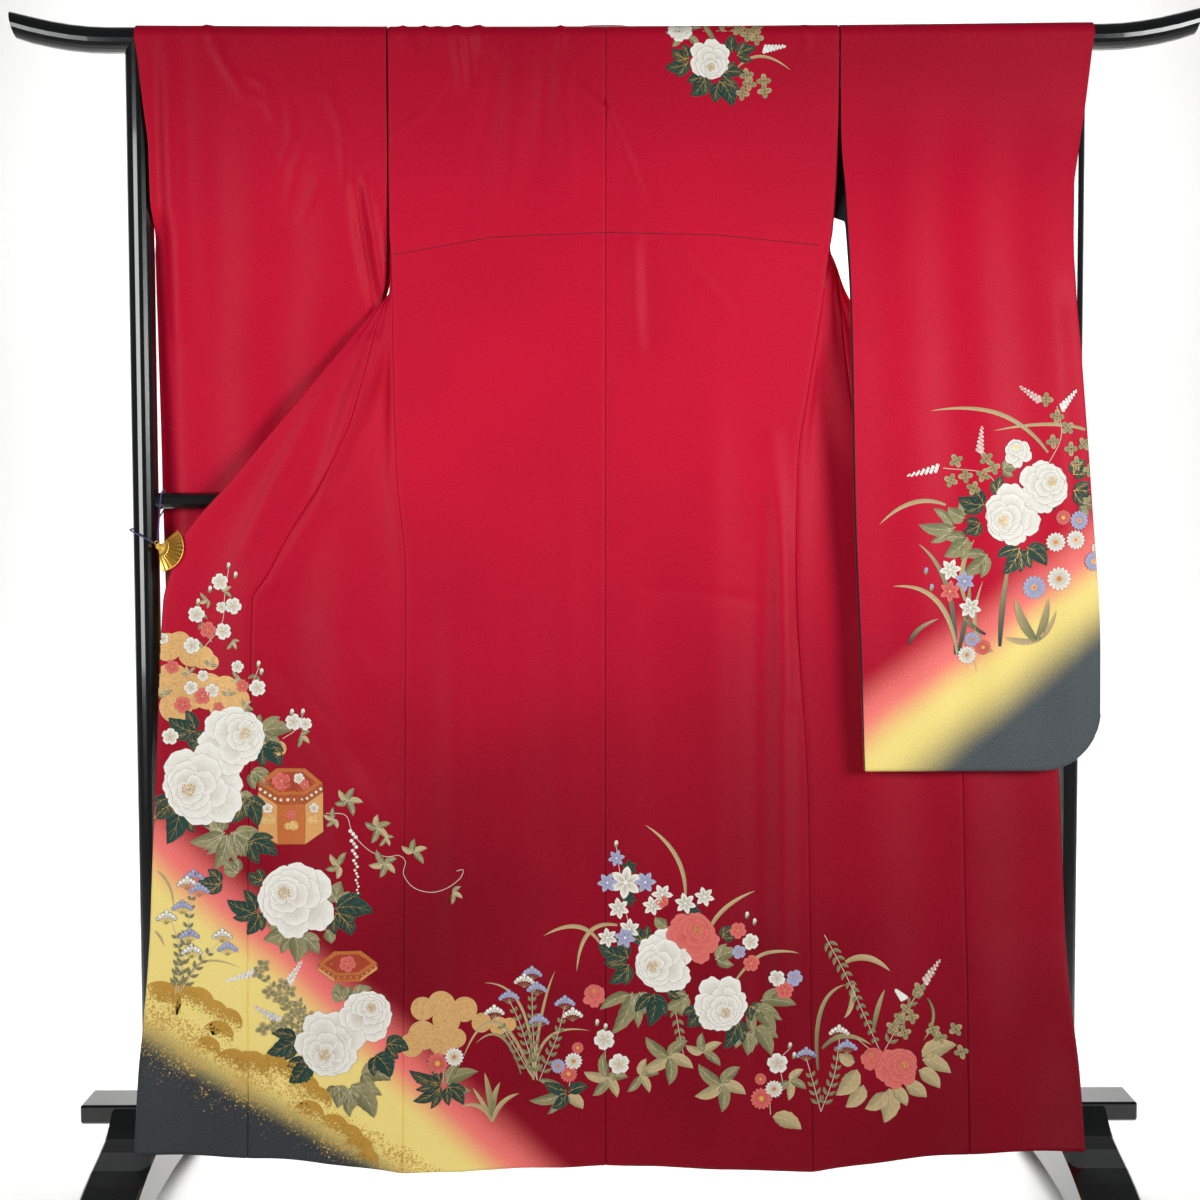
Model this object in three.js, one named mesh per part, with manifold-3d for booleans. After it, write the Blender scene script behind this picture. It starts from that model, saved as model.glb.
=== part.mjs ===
// A long-sleeved furisode kimono spread over a black lacquered kimono rack, shown from its back.
// Millimetres. +Z is up, the back of the garment faces -Y, the floor is z = 0.
// "Left" and "right" are those of someone who looks at the garment's back, towards +Y.
import * as THREE from 'three';
import Module from 'manifold-3d';

const wasm = await Module();
wasm.setup();

// ---------------------------------------------------------------- driving dimensions

const CLOTH = 1.6;            // wall of the lined silk
const SEAM = 0.4;             // gap kept between two sewn or touching pieces

const RAIL_RADIUS = 18.2;
const RAIL_HEIGHT = 1657;     // axis of the top rail above the posts
const RAIL_SAG = 3;           // how far its middle lies lower
const RAIL_HALF = 832;        // half its length, tip to tip
const TIP_START = 700;        // where the upturned ends begin
const TIP_RISE = 22;
const TIP_LEAN = 0.22;        // overhang of the oblique end cut, per unit of height

const POST_X = 657;
const POST_RADIUS = 18.2;
const CROSSBAR_HEIGHT = 1010.5;
const CROSSBAR_RADIUS = 12;
const BEAM_HALF_LENGTH = 757;
const BEAM_HALF_DEPTH = 35;
const BEAM_BOTTOM = 118.5;
const BEAM_TOP = 146;
const FOOT_INNER_X = 631;
const FOOT_OUTER_X = 711;

const CLIP_RIVET = { x: -632, z: 946 };
const CLIP_RADIUS = 36;
const CORD_RADIUS = 1;

const DRAPE_RADIUS = 19.8;    // from the rail's axis to the middle of the cloth over it
const NECK_HALF = 50;         // half the neck opening along the rail
const NECK_RADIUS = DRAPE_RADIUS + 2.6;   // the collar band is thicker and stands off the rail

// Foot, seen from its side: height of its top and of its arched underside at a distance from the beam's middle.
const FOOT_TOP = [
  { y: 35.4, z: 141 }, { y: 60, z: 121 }, { y: 85, z: 109 }, { y: 152, z: 92 },
  { y: 204, z: 74 }, { y: 270, z: 47 }, { y: 315, z: 22 }, { y: 334, z: 6 },
];
const FOOT_ARCH = [
  { y: 235, z: 0 }, { y: 190, z: 20 }, { y: 110, z: 36 }, { y: 0, z: 40 },
];

// Back panels: their outer side edges and the centre seam.
const BACK_EDGES = [
  { z: 1640, left: -304.5, centre: 0.5, right: 327 },
  { z: 1520, left: -304.5, centre: 0, right: 326 },
  { z: 1388, left: -303.8, centre: -0.5, right: 318 },
  { z: 1352, left: -302, centre: -0.8, right: 312 },
  { z: 1289, left: -301, centre: -1, right: 304 },
  { z: 1187, left: -300, centre: -1.5, right: 288 },
  { z: 1055, left: -297, centre: -2, right: 269.5 },
  { z: 910, left: -285.5, centre: -2.6, right: 267.5 },
  { z: 585, left: -288.5, centre: -3.5, right: 285 },
  { z: 50, left: -296, centre: -4.5, right: 292 },
];
const BACK_DEPTH = [
  { z: 1640, y: -19.8 }, { z: 1480, y: -22 }, { z: 1300, y: -24 }, { z: 900, y: -27.5 },
  { z: 400, y: -34 }, { z: 170, y: -40 }, { z: 50, y: -43 },
];
const BACK_HEM = { centre: 60, side: 49 };

// Soft vertical folds of the hanging back: place, depth, half width and the heights they fade at.
const BACK_FOLDS = [
  { x: 248, depth: 7, width: 16, high: 1080, low: 420 },
  { x: 214, depth: -4, width: 20, high: 1040, low: 300 },
  { x: 150, depth: 3.5, width: 26, high: 1250, low: 160 },
  { x: 70, depth: -3, width: 30, high: 980, low: 90 },
  { x: -60, depth: 3, width: 26, high: 1180, low: 120 },
  { x: -130, depth: -3.5, width: 30, high: 1040, low: 90 },
  { x: -215, depth: 4, width: 24, high: 980, low: 150 },
];

// Front bodies. Above the armhole gap they hang behind the rail; they pass through the gap, gathered,
// and fan out on the near side. "gap" and "lag" set the side seam off from the back panel's edge, outward
// and away from the viewer. "edge" is the free front edge, and "share" is how much of the width belongs to
// the front panel, the rest being the overlap panel.
const FRONT_LEFT = {
  side: -1,
  hem: { seam: 49, middle: 84, corner: 111 },
  rows: [
    { z: 1640, gap: 0.6, lag: 39.6, edgeX: -62, edgeY: 19.8, share: 1 },
    { z: 1480, gap: 0.6, lag: 43, edgeX: -177, edgeY: 21, share: 1 },
    { z: 1430, gap: 0.8, lag: 42.4, edgeX: -213, edgeY: 20, share: 0.95 },
    { z: 1385, gap: 2.4, lag: 32, edgeX: -246, edgeY: 18, share: 0.8 },
    { z: 1350, gap: 3.4, lag: 11, edgeX: -272, edgeY: 13, share: 0.65 },
    { z: 1306, gap: 2.8, lag: 0.4, edgeX: -304, edgeY: 2, share: 0.55 },
    { z: 1281, gap: 1.8, lag: 0, edgeX: -325, edgeY: -13, share: 0.48 },
    { z: 1217, gap: 1.1, lag: 0, edgeX: -379, edgeY: -21, share: 0.4 },
    { z: 1140, gap: 1.1, lag: 0, edgeX: -444, edgeY: -25, share: 0.37 },
    { z: 1040, gap: 1.1, lag: 0, edgeX: -529, edgeY: -27.5, share: 0.45 },
    { z: 956, gap: 1.1, lag: 0, edgeX: -600, edgeY: -29, share: 0.53 },
    { z: 904, gap: 1.1, lag: 0, edgeX: -619, edgeY: -29.4, share: 0.585 },
    { z: 869, gap: 1.1, lag: 0, edgeX: -628, edgeY: -29.6, share: 0.63 },
    { z: 700, gap: 1.1, lag: 0, edgeX: -638, edgeY: -31, share: 0.625 },
    { z: 420, gap: 1.1, lag: 0, edgeX: -650, edgeY: -42, share: 0.615 },
    { z: 330, gap: 1.1, lag: 0, edgeX: -652, edgeY: -56, share: 0.61 },
    { z: 250, gap: 1.1, lag: 0, edgeX: -653, edgeY: -79, share: 0.605 },
    { z: 180, gap: 1.1, lag: 0, edgeX: -653, edgeY: -106, share: 0.6 },
    { z: 50, gap: 1.1, lag: 0, edgeX: -653, edgeY: -135, share: 0.6 },
  ],
};
const FRONT_RIGHT = {
  side: 1,
  hem: { seam: 49, middle: 86, corner: 112 },
  rows: [
    { z: 1640, gap: 0.6, lag: 39.6, edgeX: 62, edgeY: 19.8, share: 1 },
    { z: 1480, gap: 0.6, lag: 43, edgeX: 186, edgeY: 21, share: 1 },
    { z: 1430, gap: 0.8, lag: 42.4, edgeX: 226, edgeY: 20, share: 0.95 },
    { z: 1385, gap: 2.4, lag: 32, edgeX: 261, edgeY: 18, share: 0.8 },
    { z: 1350, gap: 3.4, lag: 11, edgeX: 288, edgeY: 13, share: 0.65 },
    { z: 1306, gap: 2.8, lag: 0.4, edgeX: 320, edgeY: 2, share: 0.55 },
    { z: 1281, gap: 1.8, lag: 0, edgeX: 342, edgeY: -13, share: 0.48 },
    { z: 1217, gap: 1.1, lag: 0, edgeX: 396, edgeY: -21, share: 0.4 },
    { z: 1140, gap: 1.1, lag: 0, edgeX: 459, edgeY: -25, share: 0.37 },
    { z: 1040, gap: 1.1, lag: 0, edgeX: 541, edgeY: -27.5, share: 0.45 },
    { z: 956, gap: 1.1, lag: 0, edgeX: 606, edgeY: -29, share: 0.53 },
    { z: 904, gap: 1.1, lag: 0, edgeX: 619, edgeY: -29.4, share: 0.585 },
    { z: 869, gap: 1.1, lag: 0, edgeX: 627, edgeY: -29.6, share: 0.63 },
    { z: 700, gap: 1.1, lag: 0, edgeX: 637, edgeY: -31, share: 0.62 },
    { z: 420, gap: 1.1, lag: 0, edgeX: 648, edgeY: -42, share: 0.61 },
    { z: 330, gap: 1.1, lag: 0, edgeX: 650, edgeY: -56, share: 0.61 },
    { z: 250, gap: 1.1, lag: 0, edgeX: 652, edgeY: -79, share: 0.605 },
    { z: 180, gap: 1.1, lag: 0, edgeX: 653, edgeY: -106, share: 0.6 },
    { z: 50, gap: 1.1, lag: 0, edgeX: 654, edgeY: -135, share: 0.6 },
  ],
};
const GATHERS = 4;            // pleats that radiate from the armhole gap
const GATHER_DEPTH = 2.6;
const CURTAIN_FOLDS = 2.5;    // broad waves across a spread front
const CURTAIN_DEPTH = 3.2;

// Sleeves: edges and depths of the near and the far layer, from the rail to the bottom.
const SLEEVE_LEFT = {
  bottom: 612, corner: 70, mouth: 1430,
  rows: [
    { z: 1640, inner: -306, nearOuter: -655, farOuter: -655, near: -19.8, far: 19.8 },
    { z: 1560, inner: -306, nearOuter: -645, farOuter: -645, near: -22, far: 22.5 },
    { z: 1500, inner: -306.2, nearOuter: -636, farOuter: -637, near: -21.6, far: 24 },
    { z: 1440, inner: -307.5, nearOuter: -634.5, farOuter: -634.5, near: -18, far: 26 },
    { z: 1392, inner: -311, nearOuter: -633.5, farOuter: -633.5, near: -14.5, far: 28 },
    { z: 1355, inner: -325, nearOuter: -632, farOuter: -632, near: -11, far: 29 },
    { z: 1300, inner: -338, nearOuter: -631, farOuter: -631, near: -6, far: 31 },
    { z: 1040, inner: -336, nearOuter: -627, farOuter: -627, near: 16.5, far: 39 },
    { z: 980, inner: -335, nearOuter: -626, farOuter: -626, near: 17.5, far: 39 },
    { z: 800, inner: -332, nearOuter: -628, farOuter: -628, near: 16, far: 36 },
    { z: 612, inner: -330, nearOuter: -630, farOuter: -630, near: 18, far: 26 },
  ],
};
const SLEEVE_RIGHT = {
  bottom: 628, corner: 82, mouth: 1330,
  rows: [
    { z: 1640, inner: 328.4, nearOuter: 680, farOuter: 680, near: -19.8, far: 19.8 },
    { z: 1600, inner: 328.4, nearOuter: 675, farOuter: 661, near: -22, far: 22.5 },
    { z: 1540, inner: 328.4, nearOuter: 667, farOuter: 635, near: -25, far: 22.5 },
    { z: 1510, inner: 328.8, nearOuter: 662, farOuter: 634, near: -28, far: 14 },
    { z: 1424, inner: 334, nearOuter: 650, farOuter: 633.5, near: -40, far: -9 },
    { z: 1350, inner: 346, nearOuter: 649, farOuter: 636, near: -50, far: -28 },
    { z: 1290, inner: 352, nearOuter: 653, farOuter: 650, near: -56, far: -39 },
    { z: 1200, inner: 350, nearOuter: 660, farOuter: 660, near: -64, far: -46 },
    { z: 1009, inner: 346, nearOuter: 675, farOuter: 675, near: -68, far: -48 },
    { z: 800, inner: 356, nearOuter: 689, farOuter: 689, near: -68, far: -49 },
    { z: 628, inner: 363, nearOuter: 690, farOuter: 690, near: -63, far: -55 },
  ],
};
const SLEEVE_FOLDS = 3;
const SLEEVE_FOLD_DEPTH = 2.4;

const COLLAR_WIDTH = 58;      // across the folded band
const COLLAR_END = 958;       // height where it ends on each front edge

// ---------------------------------------------------------------- small maths

const lerp = (a, b, t) => a + (b - a) * t;
const clamp = (t, low = 0, high = 1) => Math.min(high, Math.max(low, t));
const smooth = (t) => clamp(t) ** 2 * (3 - 2 * clamp(t));
const bell = (t) => Math.exp(-t * t);

// A smooth curve through one column of a table whose rows run from high to low z.
function column(rows, key) {
  const slopes = rows.slice(1).map((r, i) => (r[key] - rows[i][key]) / (r.z - rows[i].z));
  const tangents = rows.map((_, i) => {
    const before = slopes[Math.max(0, i - 1)];
    const after = slopes[Math.min(slopes.length - 1, i)];
    if (before * after <= 0) return 0;
    return 2 * before * after / (before + after);
  });
  return (z) => {
    const level = clamp(z, rows.at(-1).z, rows[0].z);
    const i = Math.max(0, rows.findLastIndex((r, n) => r.z >= level && n < rows.length - 1));
    const span = rows[i + 1].z - rows[i].z;
    const t = (level - rows[i].z) / span;
    const rise = (1 + 2 * t) * (1 - t) ** 2 * rows[i][key] + t * t * (3 - 2 * t) * rows[i + 1][key];
    return rise + span * t * (1 - t) * ((1 - t) * tangents[i] - t * tangents[i + 1]);
  };
}

const columns = (rows) => Object.fromEntries(
  Object.keys(rows[0]).filter((key) => key !== 'z').map((key) => [key, column(rows, key)]),
);

// Height of the rail's axis along its length.
function railAxis(x) {
  const across = Math.abs(x);
  const sag = RAIL_SAG * clamp(1 - (x / POST_X) ** 2);
  const tip = TIP_RISE * clamp((across - TIP_START) / (RAIL_HALF - TIP_START)) ** 1.8;
  return RAIL_HEIGHT - sag + tip;
}

// ---------------------------------------------------------------- solids

function geometryOf(points, triangles) {
  const volume = triangles.reduce((sum, [a, b, c]) => (
    sum + points[a].dot(new THREE.Vector3().crossVectors(points[b], points[c]))
  ), 0);
  const facing = volume < 0 ? triangles.map(([a, b, c]) => [a, c, b]) : triangles;
  const geometry = new THREE.BufferGeometry();
  geometry.setAttribute('position', new THREE.Float32BufferAttribute(points.flatMap((p) => p.toArray()), 3));
  geometry.setIndex(facing.flat());
  geometry.computeVertexNormals();
  return geometry;
}

// Closes a loft of equal rings with a fan at each end.
function loft(rings) {
  const sides = rings[0].length;
  const points = rings.flat();
  const triangles = [];
  for (let i = 0; i + 1 < rings.length; i++) {
    for (let j = 0; j < sides; j++) {
      const a = i * sides + j;
      const b = i * sides + (j + 1) % sides;
      triangles.push([a, b, b + sides], [a, b + sides, a + sides]);
    }
  }
  for (const [ring, start, turned] of [[rings[0], 0, true], [rings.at(-1), points.length - sides, false]]) {
    const centre = ring.reduce((sum, p) => sum.add(p), new THREE.Vector3()).divideScalar(sides);
    const tip = points.push(centre) - 1;
    for (let j = 0; j < sides; j++) {
      const edge = [start + j, start + (j + 1) % sides];
      triangles.push(turned ? [edge[1], edge[0], tip] : [edge[0], edge[1], tip]);
    }
  }
  return geometryOf(points, triangles);
}

// A wall of cloth around a grid of points on its middle surface; "ring" joins the last row to the first.
function clothWall(rows, { ring = false, wall = CLOTH } = {}) {
  const high = rows.length;
  const wide = rows[0].length;
  const row = (i) => (ring ? (i + high) % high : clamp(i, 0, high - 1));
  const normals = rows.map((line, i) => line.map((_, j) => {
    const down = rows[row(i + 1)][j].clone().sub(rows[row(i - 1)][j]);
    const across = line[Math.min(wide - 1, j + 1)].clone().sub(line[Math.max(0, j - 1)]);
    return down.cross(across).normalize();
  }));
  const faceAt = (offset) => rows.flatMap((line, i) => (
    line.map((p, j) => p.clone().addScaledVector(normals[i][j], offset))
  ));
  const points = [...faceAt(wall / 2), ...faceAt(-wall / 2)];
  const back = high * wide;
  const triangles = [];
  const quad = (a, b, c, d) => triangles.push([a, b, c], [a, c, d]);
  for (let i = 0; i < (ring ? high : high - 1); i++) {
    const here = i * wide;
    const next = row(i + 1) * wide;
    for (let j = 0; j + 1 < wide; j++) {
      quad(here + j, here + j + 1, next + j + 1, next + j);
      quad(back + here + j, back + next + j, back + next + j + 1, back + here + j + 1);
    }
    quad(here, next, back + next, back + here);
    quad(here + wide - 1, back + here + wide - 1, back + next + wide - 1, next + wide - 1);
  }
  if (!ring) {
    const last = (high - 1) * wide;
    for (let j = 0; j + 1 < wide; j++) {
      quad(j, back + j, back + j + 1, j + 1);
      quad(last + j, last + j + 1, back + last + j + 1, back + last + j);
    }
  }
  return geometryOf(points, triangles);
}

const circle = (sides, at) => Array.from({ length: sides }, (_, k) => at(2 * Math.PI * k / sides));

function solidOf(geometry) {
  const index = geometry.index.array;
  const mesh = new wasm.Mesh({
    numProp: 3,
    vertProperties: new Float32Array(geometry.attributes.position.array),
    triVerts: new Uint32Array(index),
  });
  return new wasm.Manifold(mesh);
}

function geometryFrom(solid) {
  const mesh = solid.getMesh();
  const geometry = new THREE.BufferGeometry();
  geometry.setAttribute('position', new THREE.Float32BufferAttribute(mesh.vertProperties, 3));
  geometry.setIndex(Array.from(mesh.triVerts));
  geometry.computeVertexNormals();
  return geometry;
}

// ---------------------------------------------------------------- the rack

function railGeometry() {
  const sides = 20;
  const middle = [-600, -450, -300, -150, 0, 150, 300, 450, 600];
  const tip = Array.from({ length: 7 }, (_, k) => lerp(TIP_START - 30, RAIL_HALF, k / 6));
  const stations = [...tip.map((x) => -x).reverse(), ...middle, ...tip];
  return loft(stations.map((x) => circle(sides, (angle) => {
    const height = RAIL_RADIUS * Math.sin(angle);
    const lean = Math.abs(x) === RAIL_HALF ? Math.sign(x) * TIP_LEAN * height : 0;
    return new THREE.Vector3(x + lean, RAIL_RADIUS * Math.cos(angle), railAxis(x) + height);
  })));
}

// An upright whose top is scooped to sit under the rail.
function postGeometry(x) {
  const sides = 20;
  const ringAt = (share, height) => circle(sides, (angle) => {
    const dx = POST_RADIUS * share * Math.cos(angle);
    const dy = POST_RADIUS * share * Math.sin(angle);
    return new THREE.Vector3(x + dx, dy, height(x + dx, dy));
  });
  const scoop = (px, py) => railAxis(px) - Math.sqrt((RAIL_RADIUS + 2 * SEAM) ** 2 - py ** 2);
  const foot = () => BEAM_TOP + SEAM;
  return loft([ringAt(1, foot), ...[1, 0.92, 0.78, 0.55, 0.28].map((share) => ringAt(share, scoop))]);
}

// The thin bar between the posts, its ends hollowed round them.
function crossbarGeometry() {
  const sides = 16;
  const reach = (y) => POST_X - Math.sqrt((POST_RADIUS + 2 * SEAM) ** 2 - y ** 2);
  const ringAt = (share, side) => circle(sides, (angle) => {
    const y = CROSSBAR_RADIUS * share * Math.cos(angle);
    const z = CROSSBAR_HEIGHT + CROSSBAR_RADIUS * share * Math.sin(angle);
    return new THREE.Vector3(side * reach(y), y, z);
  });
  return loft([ringAt(0.5, -1), ringAt(1, -1), ringAt(1, 1), ringAt(0.5, 1)]);
}

// Extrudes an outline drawn in y and z from one x to another, with softened edges.
function slab(outline, fromX, toX, bevel) {
  const shape = new THREE.Shape(outline.map(({ y, z }) => new THREE.Vector2(y, z)));
  const geometry = new THREE.ExtrudeGeometry(shape, {
    depth: toX - fromX - 2 * bevel,
    bevelEnabled: true,
    bevelThickness: bevel,
    bevelSize: bevel,
    bevelOffset: -bevel,
    bevelSegments: 1,
    steps: 1,
  });
  const upright = new THREE.Matrix4().set(
    0, 0, 1, fromX + bevel,
    1, 0, 0, 0,
    0, 1, 0, 0,
    0, 0, 0, 1,
  );
  return geometry.applyMatrix4(upright);
}

function beamGeometry() {
  const edge = 3;
  const outline = [
    { y: -BEAM_HALF_DEPTH, z: BEAM_BOTTOM + edge }, { y: -BEAM_HALF_DEPTH + edge, z: BEAM_BOTTOM },
    { y: BEAM_HALF_DEPTH - edge, z: BEAM_BOTTOM }, { y: BEAM_HALF_DEPTH, z: BEAM_BOTTOM + edge },
    { y: BEAM_HALF_DEPTH, z: BEAM_TOP - edge }, { y: BEAM_HALF_DEPTH - edge, z: BEAM_TOP },
    { y: -BEAM_HALF_DEPTH + edge, z: BEAM_TOP }, { y: -BEAM_HALF_DEPTH, z: BEAM_TOP - edge },
  ];
  return slab(outline, -BEAM_HALF_LENGTH, BEAM_HALF_LENGTH, 2);
}

// An arched foot, notched over its middle for the beam.
function footGeometry(side) {
  const curveThrough = (rows, count) => (
    new THREE.SplineCurve(rows.map(({ y, z }) => new THREE.Vector2(y, z)))
      .getPoints(count).map((p) => ({ y: p.x, z: p.y }))
  );
  const top = curveThrough(FOOT_TOP, 12);
  const arch = curveThrough(FOOT_ARCH, 7);
  const notch = BEAM_BOTTOM - SEAM;
  const half = [...arch.slice(0, -1).reverse(), { y: 325, z: 0 }, ...top.reverse(), { y: top.at(-1).y, z: notch }];
  const mirrored = half.map(({ y, z }) => ({ y: -y, z })).reverse();
  const outline = [...half, ...mirrored, { y: 0, z: arch.at(-1).z }];
  const [from, to] = side < 0 ? [-FOOT_OUTER_X, -FOOT_INNER_X] : [FOOT_INNER_X, FOOT_OUTER_X];
  return slab(outline, from, to, 3);
}

// ---------------------------------------------------------------- cloth over the rail

// A point of the draped cloth near the rail: "turn" is the angle from its top, towards y = side.
function overRail(x, turn, side, radius = DRAPE_RADIUS) {
  return new THREE.Vector3(x, side * radius * Math.sin(turn), railAxis(x) + radius * Math.cos(turn));
}

const RAIL_TURNS = [SEAM / DRAPE_RADIUS, ...[0.125, 0.25, 0.375, 0.5].map((share) => share * Math.PI)];
const SHOULDER = 1640;        // where the straight hang starts, just under the rail's axis

// ---------------------------------------------------------------- back panels

const backEdge = columns(BACK_EDGES);
const backDepth = column(BACK_DEPTH, 'y');

function backFold(x, z) {
  return BACK_FOLDS.reduce((sum, fold) => {
    const fade = smooth((fold.high - z) / 260) * smooth((z - fold.low + 260) / 260);
    return sum + fold.depth * fade * bell((x - fold.x) / fold.width);
  }, 0);
}

function backGeometry(side) {
  const levels = [1640, 1590, 1520, 1450, 1388, 1352, 1290, 1220, 1150, 1080, 1010, 930, 850, 770];
  levels.push(690, 610, 530, 450, 370, 290, 220, 150, 100, 50);
  const steps = 8;
  const key = side < 0 ? 'left' : 'right';
  const acrossAt = (z, share) => {
    const centre = backEdge.centre(z) + side * SEAM / 2;
    return lerp(centre, backEdge[key](z), share);
  };
  const shares = Array.from({ length: steps + 1 }, (_, k) => k / steps);
  const over = RAIL_TURNS.map((turn) => shares.map((s) => overRail(acrossAt(SHOULDER, s), turn, -1)));
  const hang = levels.map((level) => shares.map((share) => {
    const hem = lerp(BACK_HEM.centre, BACK_HEM.side, share);
    const z = level > 400 ? level : lerp(400, hem, (400 - level) / 350);
    const x = acrossAt(level, share);
    const calm = smooth((1 - share) / 0.1) * smooth(share / 0.08);
    return new THREE.Vector3(x, backDepth(level) - backFold(x, level) * calm, z);
  }));
  return clothWall([...over, ...hang]);
}

// ---------------------------------------------------------------- fronts and overlaps

// Where a front body's side seam runs at a height.
function seamPoint(front, table, level) {
  const edge = front.side < 0 ? backEdge.left(level) : backEdge.right(level);
  return { x: edge + front.side * table.gap(level), y: backDepth(level) + table.lag(level) };
}

// A point of a front body at a height and a share of the way from its side seam to its free edge.
function frontPoint(front, table, level, share) {
  const gathered = bell((level - 1300) / 62);
  const spread = smooth((1200 - level) / 240);
  const bend = lerp(1, 2.2, smooth((460 - level) / 300));
  const seam = seamPoint(front, table, level);
  const edge = { x: table.edgeX(level), y: table.edgeY(level) };
  const middle = table.share(level);
  const hemShare = share < middle ? share / middle : (share - middle) / Math.max(0.05, 1 - middle);
  const hem = share < middle
    ? lerp(front.hem.seam, front.hem.middle, hemShare)
    : lerp(front.hem.middle, front.hem.corner, hemShare);
  const ends = Math.sin(Math.PI * share) ** 0.6;
  const pleats = GATHER_DEPTH * gathered * ends * Math.sin(2 * Math.PI * GATHERS * share);
  const bulge = 9 * gathered * Math.sin(Math.PI * share);
  const wave = CURTAIN_DEPTH * spread * ends * Math.sin(2 * Math.PI * CURTAIN_FOLDS * share + 0.8);
  const along = new THREE.Vector2(edge.x - seam.x, edge.y - seam.y).normalize();
  const out = new THREE.Vector2(-along.y, along.x).multiplyScalar(front.side);
  const x = lerp(seam.x, edge.x, share) + front.side * bulge + out.x * (pleats + wave);
  const y = lerp(seam.y, edge.y, share ** bend) + out.y * (pleats + wave);
  const z = level > 400 ? level : lerp(400, hem, (400 - level) / 350);
  return new THREE.Vector3(x, y, z);
}

const FRONT_LEVELS = [1640, 1570, 1500, 1430, 1400, 1378, 1358, 1342, 1328, 1316, 1304, 1292, 1278];
FRONT_LEVELS.push(1260, 1238, 1212, 1180, 1140, 1095, 1045, 1000, 956, 920, 870, 790, 700, 600);
FRONT_LEVELS.push(500, 420, 350, 290, 235, 185, 140, 95, 50);

// The front panel, from the shoulder line to the hem, with no shoulder seam but a fold over the rail.
function frontGeometry(front) {
  const table = columns(front.rows);
  const steps = 12;
  const shares = Array.from({ length: steps + 1 }, (_, k) => k / steps);
  const neck = front.side * (NECK_HALF + SEAM);
  const shoulder = seamPoint(front, table, SHOULDER);
  const over = RAIL_TURNS.map((turn) => shares.map((s) => (
    overRail(lerp(shoulder.x, lerp(neck, table.edgeX(SHOULDER), turn / Math.PI * 2), s), turn, 1)
  )));
  const hang = FRONT_LEVELS.map((level) => shares.map((share) => (
    frontPoint(front, table, level, share * table.share(level))
  )));
  return clothWall([...over, ...hang]);
}

const OVERLAP_TOP = 1430;     // where the overlap panel's pointed end starts

function overlapGeometry(front) {
  const table = columns(front.rows);
  const steps = 7;
  const levels = FRONT_LEVELS.filter((level) => level < OVERLAP_TOP);
  return clothWall(levels.map((level) => {
    const seam = seamPoint(front, table, level);
    const span = Math.hypot(table.edgeX(level) - seam.x, table.edgeY(level) - seam.y);
    const parted = SEAM + 0.5 + 2.2 * bell((level - 1295) / 60);
    const start = table.share(level) + parted / span;
    return Array.from({ length: steps + 1 }, (_, k) => (
      frontPoint(front, table, level, lerp(start, 1, k / steps))
    ));
  }));
}

// ---------------------------------------------------------------- collar

const BAND_SHARES = [0, 0.1, 0.2, 0.3, 0.42, 0.7, 1];

// One leg of the collar band at a height: it lies edge to edge with the front behind the rail and is
// turned in behind the front's edge below the armhole gap.
function collarRow(front, table, level) {
  const folded = smooth((1420 - level) / 90);
  const slant = lerp(1.24, 1, smooth((1300 - level) / 120));
  const width = COLLAR_WIDTH * lerp(slant, 0.75, smooth((1200 - level) / 240));
  const x = table.edgeX(level) - front.side * lerp(2.5 * SEAM, 0, folded);
  const y = table.edgeY(level) + lerp(0, 4.2, folded);
  return BAND_SHARES.map((share) => (
    new THREE.Vector3(x - front.side * width * share, y + 2.4 * folded * share, level)
  ));
}

// A point behind the rail, "drop" along the cloth from the rail's top.
function behindRail(x, drop) {
  const quarter = NECK_RADIUS * Math.PI / 2;
  const point = overRail(x, Math.min(drop, quarter) / NECK_RADIUS, 1, NECK_RADIUS);
  point.z -= Math.max(0, drop - quarter);
  return point;
}

// The band around the back of the neck, lying over the rail.
function neckRow(angle) {
  const bend = 1 - Math.cos(angle);
  const outer = { x: (NECK_HALF - 1) * Math.sin(angle), drop: 2 * SEAM + 34 * bend ** 1.5 };
  const inner = { x: 16 * Math.sin(angle), drop: 74 + 22 * bend };
  return BAND_SHARES.map((share) => (
    behindRail(lerp(outer.x, inner.x, share), lerp(outer.drop, inner.drop, share))
  ));
}

function collarGeometry() {
  const levels = [1580, 1520, 1460, 1420, 1385, 1350, 1325, 1306, 1290, 1270, 1235, 1180, 1110, 1030, COLLAR_END];
  const leg = (front) => {
    const table = columns(front.rows);
    return levels.map((level) => collarRow(front, table, level));
  };
  const neck = [-90, -66, -44, -22, 0, 22, 44, 66, 90].map((angle) => neckRow(THREE.MathUtils.degToRad(angle)));
  return clothWall([...leg(FRONT_LEFT).reverse(), ...neck, ...leg(FRONT_RIGHT)]);
}

// ---------------------------------------------------------------- sleeves

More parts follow.
